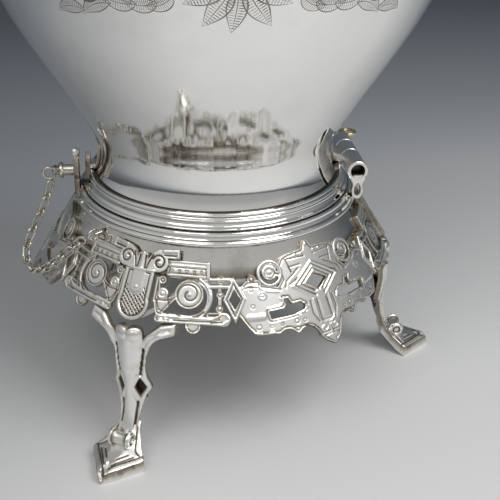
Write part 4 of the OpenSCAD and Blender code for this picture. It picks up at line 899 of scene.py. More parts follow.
link_count = int(lengths[-1] // LINK_STEP)
spots, leans = [], []
for k in range(link_count):
    here = along((k + 0.5) * LINK_STEP)
    ahead = (along((k + 0.9) * LINK_STEP) - along((k + 0.1) * LINK_STEP)).normalized()
    side = Vector((here.x, here.y, 0)).cross(ahead).normalized()
    # Each link lies along the chain and is turned a quarter from the one before.
    hang = Matrix((ahead, side, ahead.cross(side))).transposed()
    crosswise = Matrix.Rotation(math.radians(45 + 90 * (k % 2)), 3, "X")
    spots.append(here * 0.001)
    leans.append((hang @ crosswise).to_euler())
chain_mesh = bpy.data.meshes.new("link_places")
chain_mesh.from_pydata(spots, [], [])
chain_mesh.attributes.new("lean", "FLOAT_VECTOR", "POINT").data.foreach_set(
    "vector", np.array(leans, np.float32).ravel())
chain_mesh.attributes.new("round", "BOOLEAN", "POINT").data.foreach_set(
    "value", [k % 2 == 1 for k in range(link_count)])


def socket(tree, name, kind, value, direction="INPUT"):
    """A named input or output of a node tree"""
    made = tree.interface.new_socket(name, in_out=direction, socket_type=kind)
    if value is not None:
        made.default_value = value
    return made


def applied(name, mesh, tree, sizes):
    """Runs a node tree on a mesh, its inputs set by name, and returns the plain result"""
    holder = bpy.data.objects.new(name, mesh)
    bpy.context.collection.objects.link(holder)
    live = holder.modifiers.new("made", "NODES")
    live.node_group = tree
    for item in tree.interface.items_tree:
        if item.item_type == "SOCKET" and item.in_out == "INPUT" and item.name in sizes:
            live[item.identifier] = sizes[item.name]
    solid = bpy.data.meshes.new_from_object(
        holder.evaluated_get(bpy.context.evaluated_depsgraph_get()))
    holder.modifiers.clear()
    holder.data = solid
    return holder


links = bpy.data.node_groups.new("chain_links", "GeometryNodeTree")
socket(links, "Geometry", "NodeSocketGeometry", None)
for label, size in LINK_SIZES.items():
    socket(links, label, "NodeSocketFloat", size)
socket(links, "Geometry", "NodeSocketGeometry", None, "OUTPUT")
given = add(links, "NodeGroupInput").outputs
bend = add(links, "ShaderNodeMath", {0: given["Link width"], 1: 0.499}, operation="MULTIPLY")
box = add(links, "GeometryNodeCurvePrimitiveQuadrilateral", {
    "Width": given["Long link"], "Height": given["Link width"]})
oval = add(links, "GeometryNodeFilletCurve", {
    "Curve": box.outputs[0], "Radius": bend.outputs[0], "Count": 8}, mode="POLY")
loop = add(links, "GeometryNodeCurvePrimitiveCircle", {
    "Resolution": 20, "Radius": given["Round link"]})
wire_r = add(links, "ShaderNodeMath", {0: given["Wire"], 1: 0.5}, operation="MULTIPLY")
section = add(links, "GeometryNodeCurvePrimitiveCircle", {
    "Resolution": 8, "Radius": wire_r.outputs[0]})
lean = add(links, "GeometryNodeInputNamedAttribute", {"Name": "lean"}, data_type="FLOAT_VECTOR")
odd = add(links, "GeometryNodeInputNamedAttribute", {"Name": "round"}, data_type="BOOLEAN")
even = add(links, "FunctionNodeBooleanMath", {0: odd.outputs[0]}, operation="NOT")
gathered = add(links, "GeometryNodeJoinGeometry")
for curve, chosen in ((oval.outputs[0], even.outputs[0]), (loop.outputs[0], odd.outputs[0])):
    link = add(links, "GeometryNodeCurveToMesh", {
        "Curve": curve, "Profile Curve": section.outputs[0]})
    placed = add(links, "GeometryNodeInstanceOnPoints", {
        "Points": given["Geometry"], "Selection": chosen, "Instance": link.outputs[0],
        "Rotation": lean.outputs[0]})
    links.links.new(placed.outputs[0], gathered.inputs[0])
real = add(links, "GeometryNodeRealizeInstances", {"Geometry": gathered.outputs[0]})
smooth = add(links, "GeometryNodeSetShadeSmooth", {"Geometry": real.outputs[0]})
finish = add(links, "GeometryNodeSetMaterial", {
    "Geometry": smooth.outputs[0], "Material": silver_wire})
add(links, "NodeGroupOutput", {0: finish.outputs[0]})
chain = applied("lock_pin_chain", chain_mesh, links, LINK_SIZES)
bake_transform(chain)
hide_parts("chain_stand_side", "chain_pin_side")


# Spirit lamp
# A spun silver bowl hangs by its flange in a ring, which three plain cast arms carry inside the
# apron. A turned collar holds the woven wick, and a turned cap puts the flame out.
lamp_ring = piece("lamp_carrying_ring", [lathe([
    (26.6, 62.4), (27, 62), (28.6, 62), *bow(28.4, 64, 1.0, -60, 60, 7), (28.9, 66), (26.6, 66)],
    144)], polished)
settle(lamp_ring, "stand", "silver", "lamp_ring")
# The arms are shown as the CAD has them.
for node in ("lamp_arm_front", "lamp_arm_back", "lamp_arm_hinge"):
    arm_mesh = frame["nodes"][node].data
    arm_mesh.materials.clear()
    arm_mesh.materials.append(cast_silver)
bowl = piece("lamp_bowl_spun", [lathe(
    [(0, 46)] + flow([(15.6, 46), (23.4, 51.6), (26, 60), (26, 66.1)], 8)
    + [(27.9, 66.1), (28.4, 66.5), (28.4, 67), (27.9, 67.4)]
    + flow([(26, 68), (18.7, 70.6), (10, 72)], 8) + [(9.4, 72.5), (0, 72.5)], 144)], polished)
settle(bowl, "lamp", "silver", "lamp_bowl")
collar = piece("wick_collar", [lathe([
    (4, 72.1), (9, 72.1), (9.2, 72.8), (9, 73.5), (8.2, 74), (8, 74.6), (8, 77), (7.6, 77.5),
    (6.2, 77.6), (6, 78.2), (6, 83.6), (5.6, 84.1), (4.4, 84.1), (4, 83.8)], 96)], polished)
settle(collar, "lamp", "silver", "lamp_collar")

cotton, tree, principled = shader("wick_cotton")
place = add(tree, "ShaderNodeTexCoord").outputs["Object"]
twist = add(tree, "ShaderNodeTexWave", {
    "Vector": place, "Scale": 420, "Distortion": 3.0, "Detail": 2}, bands_direction="DIAGONAL")
tree.links.new(ramp(tree, twist.outputs["Fac"], [
    (0.0, (0.5, 0.47, 0.4)), (0.5, (0.82, 0.79, 0.7)), (1.0, (0.93, 0.91, 0.84))]),
    principled.inputs["Base Color"])
strands = add(tree, "ShaderNodeBump", {
    "Height": twist.outputs["Fac"], "Strength": 0.6, "Distance": 0.0004})
tree.links.new(strands.outputs["Normal"], principled.inputs["Normal"])
principled.inputs["Roughness"].default_value = 0.9
wick = piece("woven_wick", [lathe([
    (0, 72.2), (3.9, 72.2), (3.9, 84.6), (3.6, 85.6), (2.6, 86.1), (1.2, 85.7), (0, 86.05)], 64,
    lobes=16, depth=0.06)], cotton, 60)
settle(wick, "lamp", "wick", "lamp_wick")
cap = piece("snuffer_cap", [lathe([
    (0, 87.4), (5.2, 87.1), (6.6, 85.9), (6.6, 77.9), (7.6, 77.9), (7.9, 78.4), (7.7, 79),
    (7.7, 85.6), *bow(6.1, 86.6, 1.5, -10, 80, 6), (2.6, 88.7), (1.9, 89.2), (2.3, 89.8),
    (2.4, 90.7), (1.6, 91.5), (0, 91.7)], 96)], polished)
settle(cap, "lamp_cap", "silver", "lamp_cap")


# Kettle body
# Raised from one sheet of silver: a narrow waist over the foot, a wide shoulder and a collar
# for the lid. Leaves and scrolls are engraved on its front, and the spout's root is cut through.
def sweep(centres, radii, sides=48, squash=1.0, lobes=None):
    """Skin of rings round a path in the XZ plane, without its ends"""
    centres = np.asarray(centres, float)
    ahead = np.gradient(centres, axis=0)
    ahead /= np.linalg.norm(ahead, axis=1)[:, None]
    angles = np.arange(sides) * math.tau / sides
    points, faces = [], []
    for i, (middle, way, r) in enumerate(zip(centres, ahead, radii)):
        round_r = r * (lobes(i / (len(radii) - 1), angles) if lobes else 1.0)
        points += np.stack([middle[0] - way[1] * round_r * squash * np.cos(angles),
                            round_r * np.sin(angles) * np.ones(sides),
                            middle[1] + way[0] * round_r * squash * np.cos(angles)], 1).tolist()
        if i:
            faces += [(i * sides + k, i * sides + (k + 1) % sides, (i - 1) * sides
                       + (k + 1) % sides, (i - 1) * sides + k) for k in range(sides)]
    return points, faces


def bezier(a, b, c, d, count):
    """Points of a curve that leaves a towards b and reaches d from c"""
    t = np.linspace(0, 1, count)[:, None]
    a, b, c, d = (np.array(q, float) for q in (a, b, c, d))
    return a * (1 - t) ** 3 + 3 * b * t * (1 - t) ** 2 + 3 * c * t * t * (1 - t) + d * t ** 3


def cut(thing, tool):
    """Takes one solid out of another and leaves plain meshes"""
    bite = thing.modifiers.new("cut", "BOOLEAN")
    bite.object, bite.operation, bite.solver = tool, "DIFFERENCE", "EXACT"
    result = bpy.data.meshes.new_from_object(
        thing.evaluated_get(bpy.context.evaluated_depsgraph_get()))
    thing.modifiers.clear()
    thing.data = result
    result.shade_smooth()
    result.set_sharp_from_angle(angle=math.radians(38))
    bpy.data.objects.remove(tool)


# The body's outline from the foot to the mouth, as radius and height
BODY = flow([(56.0, 106.2), (54.4, 109.6), (53.4, 115.6), (54.6, 122.6), (58.3, 130.6),
             (63.2, 139.0), (69.5, 149.3), (76.2, 159.9), (83.0, 171), (89.6, 183), (96.8, 199),
             (103, 216.7), (102.6, 231.7), (92.6, 250.7), (73.6, 265.5), (55.7, 273.7),
             (48.3, 277.7), (45.7, 280.7)], 8) + [(45.7, 283.7)]
BODY_R, BODY_Z = np.array(BODY).T


def body_radius(z):
    return np.interp(z, BODY_Z, BODY_R)


WALL = 1.5
FLOOR_Z = 112.4
inside = []
for (r0, z0), (r, z), (r1, z1) in zip(BODY, BODY[1:], BODY[2:]):
    run = math.hypot(r1 - r0, z1 - z0)
    if z > FLOOR_Z:
        inside.append((r - WALL * (z1 - z0) / run, z + WALL * (r1 - r0) / run))
# The body's lowest edge, where it meets the foot moulding, is painted dark as painted shade.
body = piece("kettle_body_raised", [lathe([
    (*BODY[0], 0.9), *BODY[1:], (44.2, 283.7), *inside[::-1], (50.6, 110.7), (0, 112.1),
    (0, 110.6), (51.2, 109.2), (54.2, 106.2)], 256)], polished, 30)
# The wall is cut through where the spout stands.
SPOUT_ROOT = (89.4, 201.7)
port = piece("port", [lathe(
    [(0, -22), (13, -22), (13, 26), (0, 26)], 64,
    stood(SPOUT_ROOT[0], 0, SPOUT_ROOT[1]) @ Matrix.Rotation(math.radians(98.2), 4, "Y"))],
    polished)
cut(body, port)
settle(body, "kettle", "silver", "kettle_body")

graved, tree, principled = shader("graved_line")
place = add(tree, "ShaderNodeTexCoord").outputs["Object"]
worn = add(tree, "ShaderNodeTexNoise", {"Vector": place, "Scale": 160, "Detail": 3})
tree.links.new(ramp(tree, worn.outputs["Fac"], [
    (0.3, (0.13, 0.115, 0.095)), (0.7, (0.42, 0.39, 0.34))]), principled.inputs["Base Color"])
principled.inputs["Metallic"].default_value = 0.8
principled.inputs["Roughness"].default_value = 0.42


def graving(strokes):
    """Narrow tapered strips on the body, each from a line in millimetres round and up"""
    belly_r, thick = 92, 0.05
    points, faces = [], []
    for line, width in strokes:
        line = np.array(line, float)
        way = np.gradient(line, axis=0)
        way /= np.maximum(np.linalg.norm(way, axis=1), 1e-9)[:, None]
        taper = np.sin(np.linspace(0.06, 1, len(line)) ** 0.7 * math.pi * 0.96 + 0.04)
        half = width / 2 * np.maximum(taper, 0.12)
        across = np.stack([-way[:, 1], way[:, 0]], 1) * half[:, None]
        first = len(points)
        for q, side in zip(line, across):
            for u, z, lift in ((*(q - side), -0.1), (*(q - side), thick * 0.3), (*q, thick),
                               (*(q + side), thick * 0.3), (*(q + side), -0.1)):
                r = body_radius(z) + lift
                angle = u / belly_r - math.pi / 2
                points.append((r * math.cos(angle), r * math.sin(angle), z))
        last = len(points) - 5
        for i in range(first, last, 5):
            faces += [(i + k, i + (k + 1) % 5, i + 5 + (k + 1) % 5, i + 5 + k) for k in range(5)]
        faces += [tuple(range(first, first + 5)), tuple(range(last + 4, last - 1, -1))]
    return points, faces


def whirl(x, z, r, start, turn, width):
    """A spiral stroke that winds in"""
    t = np.linspace(0, 1, 26)
    spin = np.radians(start + turn * t)
    size = r * (1 - 0.78 * t)
    return np.stack([x + size * np.cos(spin), z + size * np.sin(spin)], 1), width


def leaf_strokes(x, z, angle, size, bend, width):
    """A pointed leaf: its two edges, its rib, and hatching, finer on one side"""
    t = np.linspace(0, 1, 18)
    way = np.radians(angle + bend * t)
    step = size / len(t)
    rib = np.stack([x + np.cumsum(np.cos(way)) * step, z + np.cumsum(np.sin(way)) * step], 1)
    side = np.stack([-np.sin(way), np.cos(way)], 1)
    swell = (np.sin(t ** 0.8 * math.pi) * size * 0.2)[:, None]
    strokes = [(rib + side * swell, width), (rib - side * swell, width * 0.8), (rib, width * 0.6)]
    for k in range(2, 16):
        for flip, share in ((1, 0.62), (-1, 0.4)):
            hatch = [rib[k] + side[k] * swell[k] * q * flip for q in (0.1, 0.45, 0.72, 0.95)]
            strokes.append((np.stack(hatch), width * share))
    return strokes


strokes = []
for angle, size in ((-90, 17), (-62, 18), (-118, 18), (-34, 17), (-146, 17), (-8, 15), (188, 15)):
    x, z = 3 * math.cos(math.radians(angle)), 209 + 3 * math.sin(math.radians(angle))
    strokes += leaf_strokes(x, z, angle, size, 14 if angle > -90 else -14, 0.6)
for side in (-1, 1):
    for x, z, r, start, turn, width in (
            (30, 209, 8.5, 190, 470, 0.8), (49, 203, 7.5, 110, -440, 0.75),
            (66, 210, 7, 230, 430, 0.65), (24, 228, 9, 100, -430, 0.7), (46, 228, 8, 70, 400, 0.65)):
        line, fine = whirl(x, z, r, start, turn, width)
        strokes.append((line * (side, 1), fine))
    for x, z, angle, size, bend, width in (
            (20, 203, -60, 12, 70, 0.5), (25, 200, -30, 13, 60, 0.5), (32, 199, -14, 14, 50, 0.5),
            (41, 198, 8, 14, -60, 0.5), (52, 194, 30, 13, -70, 0.5), (57, 202, -10, 14, 50, 0.5),
            (64, 203, 40, 13, -50, 0.45), (38, 207, 80, 12, -60, 0.5), (12, 219, 60, 14, -50, 0.5),
            (0, 222, 90, 14, 10, 0.5), (34, 219, 30, 14, 60, 0.45), (57, 219, 60, 13, 60, 0.45)):
        for line, fine in leaf_strokes(x, z, angle, size, bend, width):
            strokes.append((line * (side, 1), fine))
engraving = piece("body_engraving", [graving(strokes)], graved, 60)
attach(engraving, "kettle")


# Kettle foot
# A turned silver moulding is soldered round the body's neck. Its spigot drops into the stand's
# ring, and its beads carry on where those of the ring end.
# It is painted dark where it sits on the ring, in its hollows and where it meets the neck, as
# painted shade between the parts.
foot_ring = piece("kettle_foot_moulding", [lathe([
    (55, 96.5), (56.4, 96.5), (57, 97.3), (57, 99.7, 1), (61.2, 99.7, 1),
    *bow(61.5, 100.25, 0.5, -50, 70, 5), (61.1, 101.0, 0.3), *bow(62.4, 103.2, 2.6, 230, 182, 6),
    (59.4, 103.1, 0.6), *bow(58.75, 103.8, 0.85, -30, 65, 7), (58.75, 104.72, 0.8),
    *bow(58.3, 105.4, 0.75, -45, 80, 8), (57.6, 106.1, 1), (55, 106.1, 1)], 256)], polished, 30)
settle(foot_ring, "kettle", "silver", "kettle_foot")


# Hinge arm, lock blade and leaves
# The middle tube of the hinge stands on a cast silver arm, and a bored blade takes the lock
# pin. Both are soldered to the neck with a pointed leaf, whose tip curls away from the body.
arm_line = flow([(54.5, 106.7), (58.6, 106.4), (60.6, 105.8), (62, 105.6)], 3) + flow(
    [(62, 110.8), (60, 110.2), (57.6, 110.0), (54.2, 112.2)], 3)
on_edge = Matrix.Rotation(math.pi / 2, 4, "X")
hinge_arm = piece("hinge_tube_middle", [
    hinge_tube(-4, 9), slab(arm_line, 9.6, Matrix.Translation((0, 2.5, 0)) @ on_edge)],
    cast_silver, 40)
settle(hinge_arm, "kettle", "silver", "kettle_tube")


def blade_outline(p):
    blade = p.plate(flow([(-1, 100.3), (4.0, 100.3), (4.0, 106.3), (2.6, 110.7), (0, 113.2),
                          (-1, 113.2)], 4))
    return np.maximum(blade, -p.disc(0, LOCK_Z, LOCK_BORE))


blade_net = flat_net(blade_outline, plain_chasing, 4.6, 99.8, 113.8, 0.22)
blade = piece("lock_blade", [
    casting(blade_net, upright(-60.7, 0), 2.2),
    slab([(-59.4, 106.3), (-53.0, 106.3), (-53.0, 108.1), (-59.4, 108.1)], 7.4, on_edge)],
    cast_silver, 40)
settle(blade, "kettle", "silver", "kettle_lock_lug")


def leaf_outline(p):
    return p.plate(flow([(-1, 106.5), (5.4, 106.6), (6.0, 111), (5.2, 115), (3.0, 118.6),
                         (3.5, 121.6), (2.9, 125.4), (0.3, 130.4), (-1, 130.4)], 5))


def leaf_chasing(p, edge):
    p.put(p.strap([(0, 106), (0, 128)], 0.55), 0.55, 0.55)
    p.put(np.abs(edge + 0.6) - 0.5, 0.4, 0.5)
    for line in ([(0, 110), (3.6, 113.4)], [(0, 113), (2.6, 116.6)], [(0, 120), (2.2, 123)],
                 [(0, 123.4), (1.5, 126)]):
        p.score(p.strap(line), 0.22, 0.4)
    return p.height(edge, 0.5, 0.3)


def on_neck(turn):
    """Lays a net round the kettle's neck, with its tip bent away"""
    neck_r = 56

    def wrap(u, z, h):
        away = np.clip((z - 120) / 11, 0, 1)
        r = body_radius(z) + 1.3 + 0.9 * away ** 2 + h
        angle = u / neck_r + math.radians(turn)
        return np.stack([r * np.cos(angle), r * np.sin(angle), z - 0.5 * away ** 2], 1)
    return wrap


leaf_net = flat_net(leaf_outline, leaf_chasing, 6.4, 106.2, 131, 0.25)
for name, node, turn in (("hinge_leaf_casting", "hinge_leaf", 2.5),
                         ("lock_leaf_casting", "lock_leaf", 180)):
    settle(piece(name, [casting(leaf_net, on_neck(turn), 1.05)], cast_silver, 40),
           "kettle", "silver", node)


# Mouth rim
# A half-round silver wire, bent to a ring and soldered round the collar. It stiffens the mouth,
# and the lid's edge sits on it.
rim = piece("mouth_rim_wire", [lathe([
    (43.5, 283.8), (46.9, 283.8), *bow(46.9, 285, 1.1, -65, 65, 9), (46.9, 286.1), (43.9, 286.1),
    (43.5, 285.8)])], polished)
settle(rim, "kettle", "silver", "mouth_rim")


# Spout
# A silver swan-neck tube with six soft flutes, seamed and soldered over a hole in the belly,
# with mouldings round its middle and a bead round its lip.
def fluting(t, angles):
    """Flutes that fade towards both ends"""
    return 1 + 0.035 * np.cos(6 * angles) * math.sin(math.pi * min(t * 1.25, 1)) ** 0.7


SPOUT_RINGS, SPOUT_SIDES, SPOUT_SQUASH = 61, 72, 1.07
spout_path = bezier(SPOUT_ROOT, (131, 195.7), (134, 257.7), (168, 283.7), SPOUT_RINGS)
spout_t = np.linspace(0, 1, SPOUT_RINGS)
spout_r = 8.5 + 9.5 * (1 - spout_t) ** 1.5
outer = sweep(spout_path, spout_r * 0.985, SPOUT_SIDES, SPOUT_SQUASH, fluting)
bore = sweep(spout_path, spout_r - 1.7, SPOUT_SIDES, SPOUT_SQUASH)
count = len(outer[0])
ends = []
for first in (0, count - SPOUT_SIDES):
    for k in range(SPOUT_SIDES):
        here, there = first + k, first + (k + 1) % SPOUT_SIDES
        ends.append((here, there, count + there, count + here))
spout_tube = (outer[0] + bore[0],
              outer[1] + [tuple(count + i for i in face) for face in bore[1]] + ends)


def band(t, out, half):
    """Moulded ring round the spout"""
    last = SPOUT_RINGS - 1
    i = int(round(t * last))
    way = spout_path[min(i + 1, last)] - spout_path[max(i - 1, 0)]
    tilt = math.atan2(way[0], way[1])
    r = spout_r[i]
    line = [(r - 1.0, -half), *bow(r + out - half, 0, half, -80, 80, 9), (r - 1.0, half)]
    return lathe(line, SPOUT_SIDES, stood(spout_path[i][0], 0, spout_path[i][1])
                 @ Matrix.Rotation(tilt, 4, "Y"))


spout = piece("spout_tube", [spout_tube], polished, 34)
# What of the spout would stand inside the body is cut off.
body_core = piece("body_core", [lathe(
    [(0, 108), *[(r - 0.4, z) for r, z in BODY[8:-1]], (0, 282)], 256)], polished)
cut(spout, body_core)
settle(spout, "kettle", "silver", "spout")
lip = piece("spout_mouldings", [band(1.0, 0.15, 0.9), band(0.93, 0.1, 0.5), band(0.4, 0.5, 0.8),
                                band(0.37, 0.3, 0.5)], polished, 40)
settle(lip, "kettle", "silver", "spout")


# Handle posts and pins
# Two turned silver posts are soldered on the shoulder, one behind the spout and one opposite.
# Each takes a headed pin, and the bail handle swings on the two.
PIN_Z = axis_place("handle_swing")[2]
POST_X = 70
for name, node, side in (("handle_post_turned_spout", "handle_post_spout", 1),
                         ("handle_post_turned_rear", "handle_post_rear", -1)):
    post = piece(name, [lathe(
        [(0, 259.5), (4.2, 259.5), (4.2, 266.4), (5.0, 267.2), (5.1, 268), (4.3, 268.8),
         (3.4, 270.4), (3.2, 272.6), (3.7, 274.4), (4.3, 275.2),
         *bow(0, PIN_Z, 4.6, -40, 88, 16), (0, 284.3)], 64, stood(side * POST_X, 0, 0))],
        polished, 36)
    settle(post, "kettle", "silver", node)
for name, node, turn in (("handle_pin_headed_spout", "handle_pin_spout", 0),
                         ("handle_pin_headed_rear", "handle_pin_rear", 180)):
    pin = piece(name, [lathe(
        [(0, 0), (2, 0), (2, 15), (3.3, 15), (3.45, 15.5), (3.2, 16), (2.3, 16.9), (1.2, 17.4),
         (0, 17.6)], 48, stood(65.8, 0, PIN_Z, "X", turn))], polished, 36)
    settle(pin, "kettle", "silver", node)


# Handle
# Two cast silver arms rise from the pins and turn in over the lid, each with a mount at its end.
# Ivory washers keep the heat from the turned ivory grip between them.
ARM_X, GRIP_X, GRIP_Z = 77, 36.4, 391.7
ARM_RINGS = 57
arm_path = bezier((ARM_X, 282.7), (93, 335.7), (79, GRIP_Z), (GRIP_X, GRIP_Z), ARM_RINGS)
arm_t = np.linspace(0, 1, ARM_RINGS)
arm_r = 3.5 * (0.72 + 0.5 * np.sin(math.pi * arm_t) + 0.1 * arm_t)


def twist(t, angles):
    """Ridges that wind up the arm"""
    return 1 + 0.1 * np.cos(2 * angles) * math.sin(math.pi * t) + 0.05 * np.cos(
        4 * angles + 5 * math.pi * t)


def capped(skin, sides):
    """Closes both ends of a skin"""
    last = len(skin[0]) - sides
    return skin[0], skin[1] + [tuple(range(sides)), tuple(range(last + sides - 1, last - 1, -1))]


for name, node, turn in (("handle_arm_cast_spout", "handle_arm_spout", 0),
                         ("handle_arm_cast_rear", "handle_arm_rear", 180)):
    spin = Matrix.Rotation(math.radians(turn), 4, "Z")
    skin = capped(sweep(arm_path, arm_r * 0.93, 40, 0.8, twist), 40)
    shells = [
        (moved(skin[0], spin), skin[1]),
        lathe([(2.06, -2.8), (4.6, -2.8), (5.2, -2.2), (5.2, -1), (4.7, 0), (5.2, 1), (5.2, 2.2),
               (4.6, 2.8), (2.06, 2.8)], 64, stood(ARM_X, 0, PIN_Z, "X", turn)),
        lathe([(0, 0), (5.2, 0), (5.5, 0.6), (5.2, 1.3), (4.4, 1.7), (4.6, 2.4), (4.2, 3),
               (0, 3)], 64, stood(GRIP_X, 0, GRIP_Z, "X", turn))]
    for t, grow in ((0.16, 0.9), (0.2, 0.6), (0.62, 0.9), (0.84, 0.7)):
        i = int(t * (ARM_RINGS - 1))
        way = arm_path[i + 1] - arm_path[i - 1]
        tilt = Matrix.Rotation(math.atan2(way[0], way[1]), 4, "Y")
        r = arm_r[i] * 0.9
        knot = [(r - 1.6, -0.9), *bow(r + grow - 0.9, 0, 0.9, -80, 80, 7), (r - 1.6, 0.9)]
        shells.append(lathe(knot, 48, stood(arm_path[i][0], 0, arm_path[i][1], "Z", turn) @ tilt))
    settle(piece(name, shells, cast_silver, 40), "handle", "silver", node)

ivory, tree, principled = shader("turned_ivory")
place = add(tree, "ShaderNodeTexCoord").outputs["Object"]
grain_place = add(tree, "ShaderNodeMapping", {"Vector": place, "Scale": (0.25, 1.0, 1.0)})
rings = add(tree, "ShaderNodeTexWave", {
    "Vector": grain_place.outputs[0], "Scale": 130, "Distortion": 2.2, "Detail": 3,
    "Detail Scale": 1.5}, wave_type="RINGS", rings_direction="X")
age = add(tree, "ShaderNodeTexNoise", {"Vector": place, "Scale": 45, "Detail": 4})
faint = add(tree, "ShaderNodeMath", {0: rings.outputs["Fac"], 1: 0.45}, operation="MULTIPLY")
yellowing = add(tree, "ShaderNodeMath", {0: faint.outputs[0], 1: age.outputs["Fac"]},
                operation="ADD")
tree.links.new(ramp(tree, yellowing.outputs[0], [
    (0.25, (0.62, 0.5, 0.3)), (0.55, (0.8, 0.71, 0.51)), (1.0, (0.9, 0.84, 0.68))]),
    principled.inputs["Base Color"])
hair = add(tree, "ShaderNodeBump", {
    "Height": rings.outputs["Fac"], "Strength": 0.15, "Distance": 0.0003})
tree.links.new(hair.outputs["Normal"], principled.inputs["Normal"])
principled.inputs["Roughness"].default_value = 0.28
principled.inputs["Subsurface Weight"].default_value = 0.15
principled.inputs["Subsurface Radius"].default_value = (0.004, 0.002, 0.001)
# Half of the grip is drawn, from its middle to the beads at its end, and mirrored.
half_grip = flow([(7.5, 0), (7.2, 9), (6.5, 18), (5.7, 28)], 6) + [
    (5.4, 28.6), (5.9, 29.3), (5.9, 29.9), (5.3, 30.5), (5.4, 31), (5.0, 32.4), (4.6, 33), (0, 33)]
grip_line = [(r, -z) for r, z in half_grip[::-1]] + half_grip[1:]
grip = piece("ivory_grip_turned", [lathe(grip_line, 96, stood(0, 0, GRIP_Z, "X"))], ivory, 44)
settle(grip, "handle", "ivory_grip", "handle_grip")
for name, node, x in (("ivory_washer_spout", "grip_washer_spout", 33.1),
                      ("ivory_washer_rear", "grip_washer_rear", -36.3)):
    washer = piece(name, [lathe([(0, 0), (5.5, 0), (6.3, 0.9), (6.55, 1.6), (6.3, 2.3), (5.5, 3.2),
                                 (0, 3.2)], 72, stood(x, 0, GRIP_Z, "X"))], ivory, 44)
    settle(washer, "handle", "ivory_washer", node)


# Lid
# A domed silver lid with a stepped edge drops into the rim and turns on a small hinge at its
# side. An ivory washer and a fluted silver knob are screwed on through its top.
lid_axis = stood(*axis_place("lid_open"), "X")
lid = piece("lid_domed", [lathe([
    (47.1, 286.2), (47.45, 286.8), (47.3, 287.5), (46.4, 287.9), (45.6, 288.1), (45.2, 288.8),
    (44.4, 289.4), (43.4, 289.5), (42.9, 290.1),
    *flow([(39.5, 292.8), (30.5, 298.9), (18.3, 303.4), (9, 305), (4.4, 305.2)], 6),
    (2.2, 305.2), (2.2, 303.8),
    *flow([(4.4, 303.8), (17.6, 302), (29.9, 297.4), (39.1, 291.3)], 6),
    (41.3, 287.4), (41.3, 282.4), (41.6, 282.2), (42.6, 282.2), (42.8, 282.5), (42.8, 286.2)],
    256)], polished, 30)
settle(lid, "lid", "silver", "lid")
for name, node, rides, spans, root_y, strap_z in (
        ("lid_hinge_knuckles", "lid_hinge_tubes", "kettle", ((-12, -4.2), (4.2, 12)), 48.1, 285.0),
        ("lid_hinge_knuckle_middle", "lid_tube", "lid", ((-4, 4),), 47.6, 288.1)):
    shells = []
    for x0, x1 in spans:
        shells.append(lathe([(1.31, x0), (2.3, x0), (2.5, x0 + 0.2), (2.5, x1 - 0.2), (2.3, x1),
                             (1.31, x1)], 40, lid_axis))
        low, high = strap_z - 0.8, strap_z + 0.7
        strap = [(root_y, low), (49.5, low), (50.2, strap_z - 0.3), (50.2, high), (root_y, high)]
        shells.append(slab(strap, x1 - x0 - 0.1,
                           Matrix.Translation(((x0 + x1) / 2, 0, 0)) @ facing_out, 0.2))
    settle(piece(name, shells, polished, 40), rides, "silver", node)
lid_pin = piece("lid_hinge_wire", [lathe([
    (0, -12.6), (1.0, -12.6), (1.25, -12.3), (1.25, 12.3), (1.0, 12.6), (0, 12.6)], 40,
    lid_axis)], silver_wire, 40)
settle(lid_pin, "kettle", "silver", "lid_hinge_pin")
washer = piece("lid_ivory_washer", [lathe([
    (2.3, 305.35), (5, 305.35), (5.8, 305.8), (6, 306.3), (5.8, 306.8), (5, 307.25), (2.3, 307.25)],
    72)], ivory, 44)
settle(washer, "lid", "ivory_washer", "lid_washer")
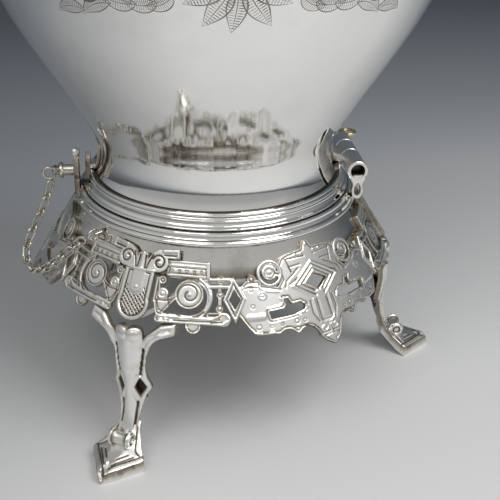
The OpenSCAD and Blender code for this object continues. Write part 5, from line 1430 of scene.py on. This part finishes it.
knob = piece("fluted_knob", [
    lathe([(0, 307.5), (4.6, 307.5), (4.8, 308.1), (4.2, 308.9), (2.7, 310), (2.2, 313.2),
           (2.6, 313.8), (0, 314)], 72),
    lathe([(0, 313.4), (2.3, 313.5), *flow([(3.4, 315), (6.9, 318), (8.2, 321.3), (6.6, 325.2),
                                            (3.0, 327.6)], 6), (0, 327.8)], 96,
          lobes=12, depth=0.09),
    lathe([(0, 327.2), (2.6, 327.4), (3.2, 328), (2.7, 328.6), (1.9, 329.2), (2.5, 330.2),
           (2.4, 331.4), (1.5, 332.2), (0, 332.4)], 64),
    lathe([(0, 301.2), (4.2, 301.2), (4.4, 301.4), (4.4, 303.4), (4.2, 303.6), (0, 303.6)], 6),
    lathe([(0, 301), (2.1, 301), (2.1, 308), (0, 308)], 32)], cast_silver, 40)
settle(knob, "lid", "silver", "lid_knob")


# Lock pin and hinge pin
# Both are turned and can be drawn out. The silver lock pin has a baluster head and a ring for
# its chain, and the hinge pin, of worn gilt, has a ring to pull it by.
lock_pin = piece("lock_pin_turned", [
    lathe([(0, 0.6), (1.5, 0.6), (2.6, 1.6), (2.6, 7.0), (3.2, 7.1), (3.7, 7.7), (3.6, 8.5),
           (3.0, 9.1), (2.2, 9.4), (2.0, 9.9), (2.5, 10.7), (2.5, 11.3), (1.8, 12.1), (0.9, 12.4),
           (0, 12.4)],
          64, Matrix.Translation((-64, 0, LOCK_Z)) @ Matrix.Rotation(-math.pi / 2, 4, "Y")),
    wire_ring(2.7, 0.7, stood(-77.8, 0, 102.9, "Y"))], silver_wire, 36)
settle(lock_pin, "lock_pin", "silver", "lock_pin")

gilt = silver("worn_gilt", tarnish=0.3, low=0.16, high=0.4, size=200,
              bright=(0.88, 0.7, 0.4), worn=(0.88, 0.8, 0.62))
# The pin's inner end, deep in the tube, is painted dark as painted shade.
hinge_pin = piece("hinge_pin_gilt", [
    lathe([(0, -16, 1), (2.5, -16, 1), (3.1, -15.2, 1), (3.1, 21.6), (4.0, 21.6), (4.15, 22),
           (4.15, 22.8), (3.7, 23.3), (2.0, 23.4), (1.2, 24), (0, 24)],
          56, stood(HINGE_X, 0, HINGE_Z, "Y")),
    wire_ring(1.9, 0.6, stood(65.6, 24.7, 110.2, "X")),
    wire_ring(3.7, 0.8, stood(68.4, 27.2, 110.4))], gilt, 36)
settle(hinge_pin, "hinge_pin", "pin_metal", "hinge_pin")
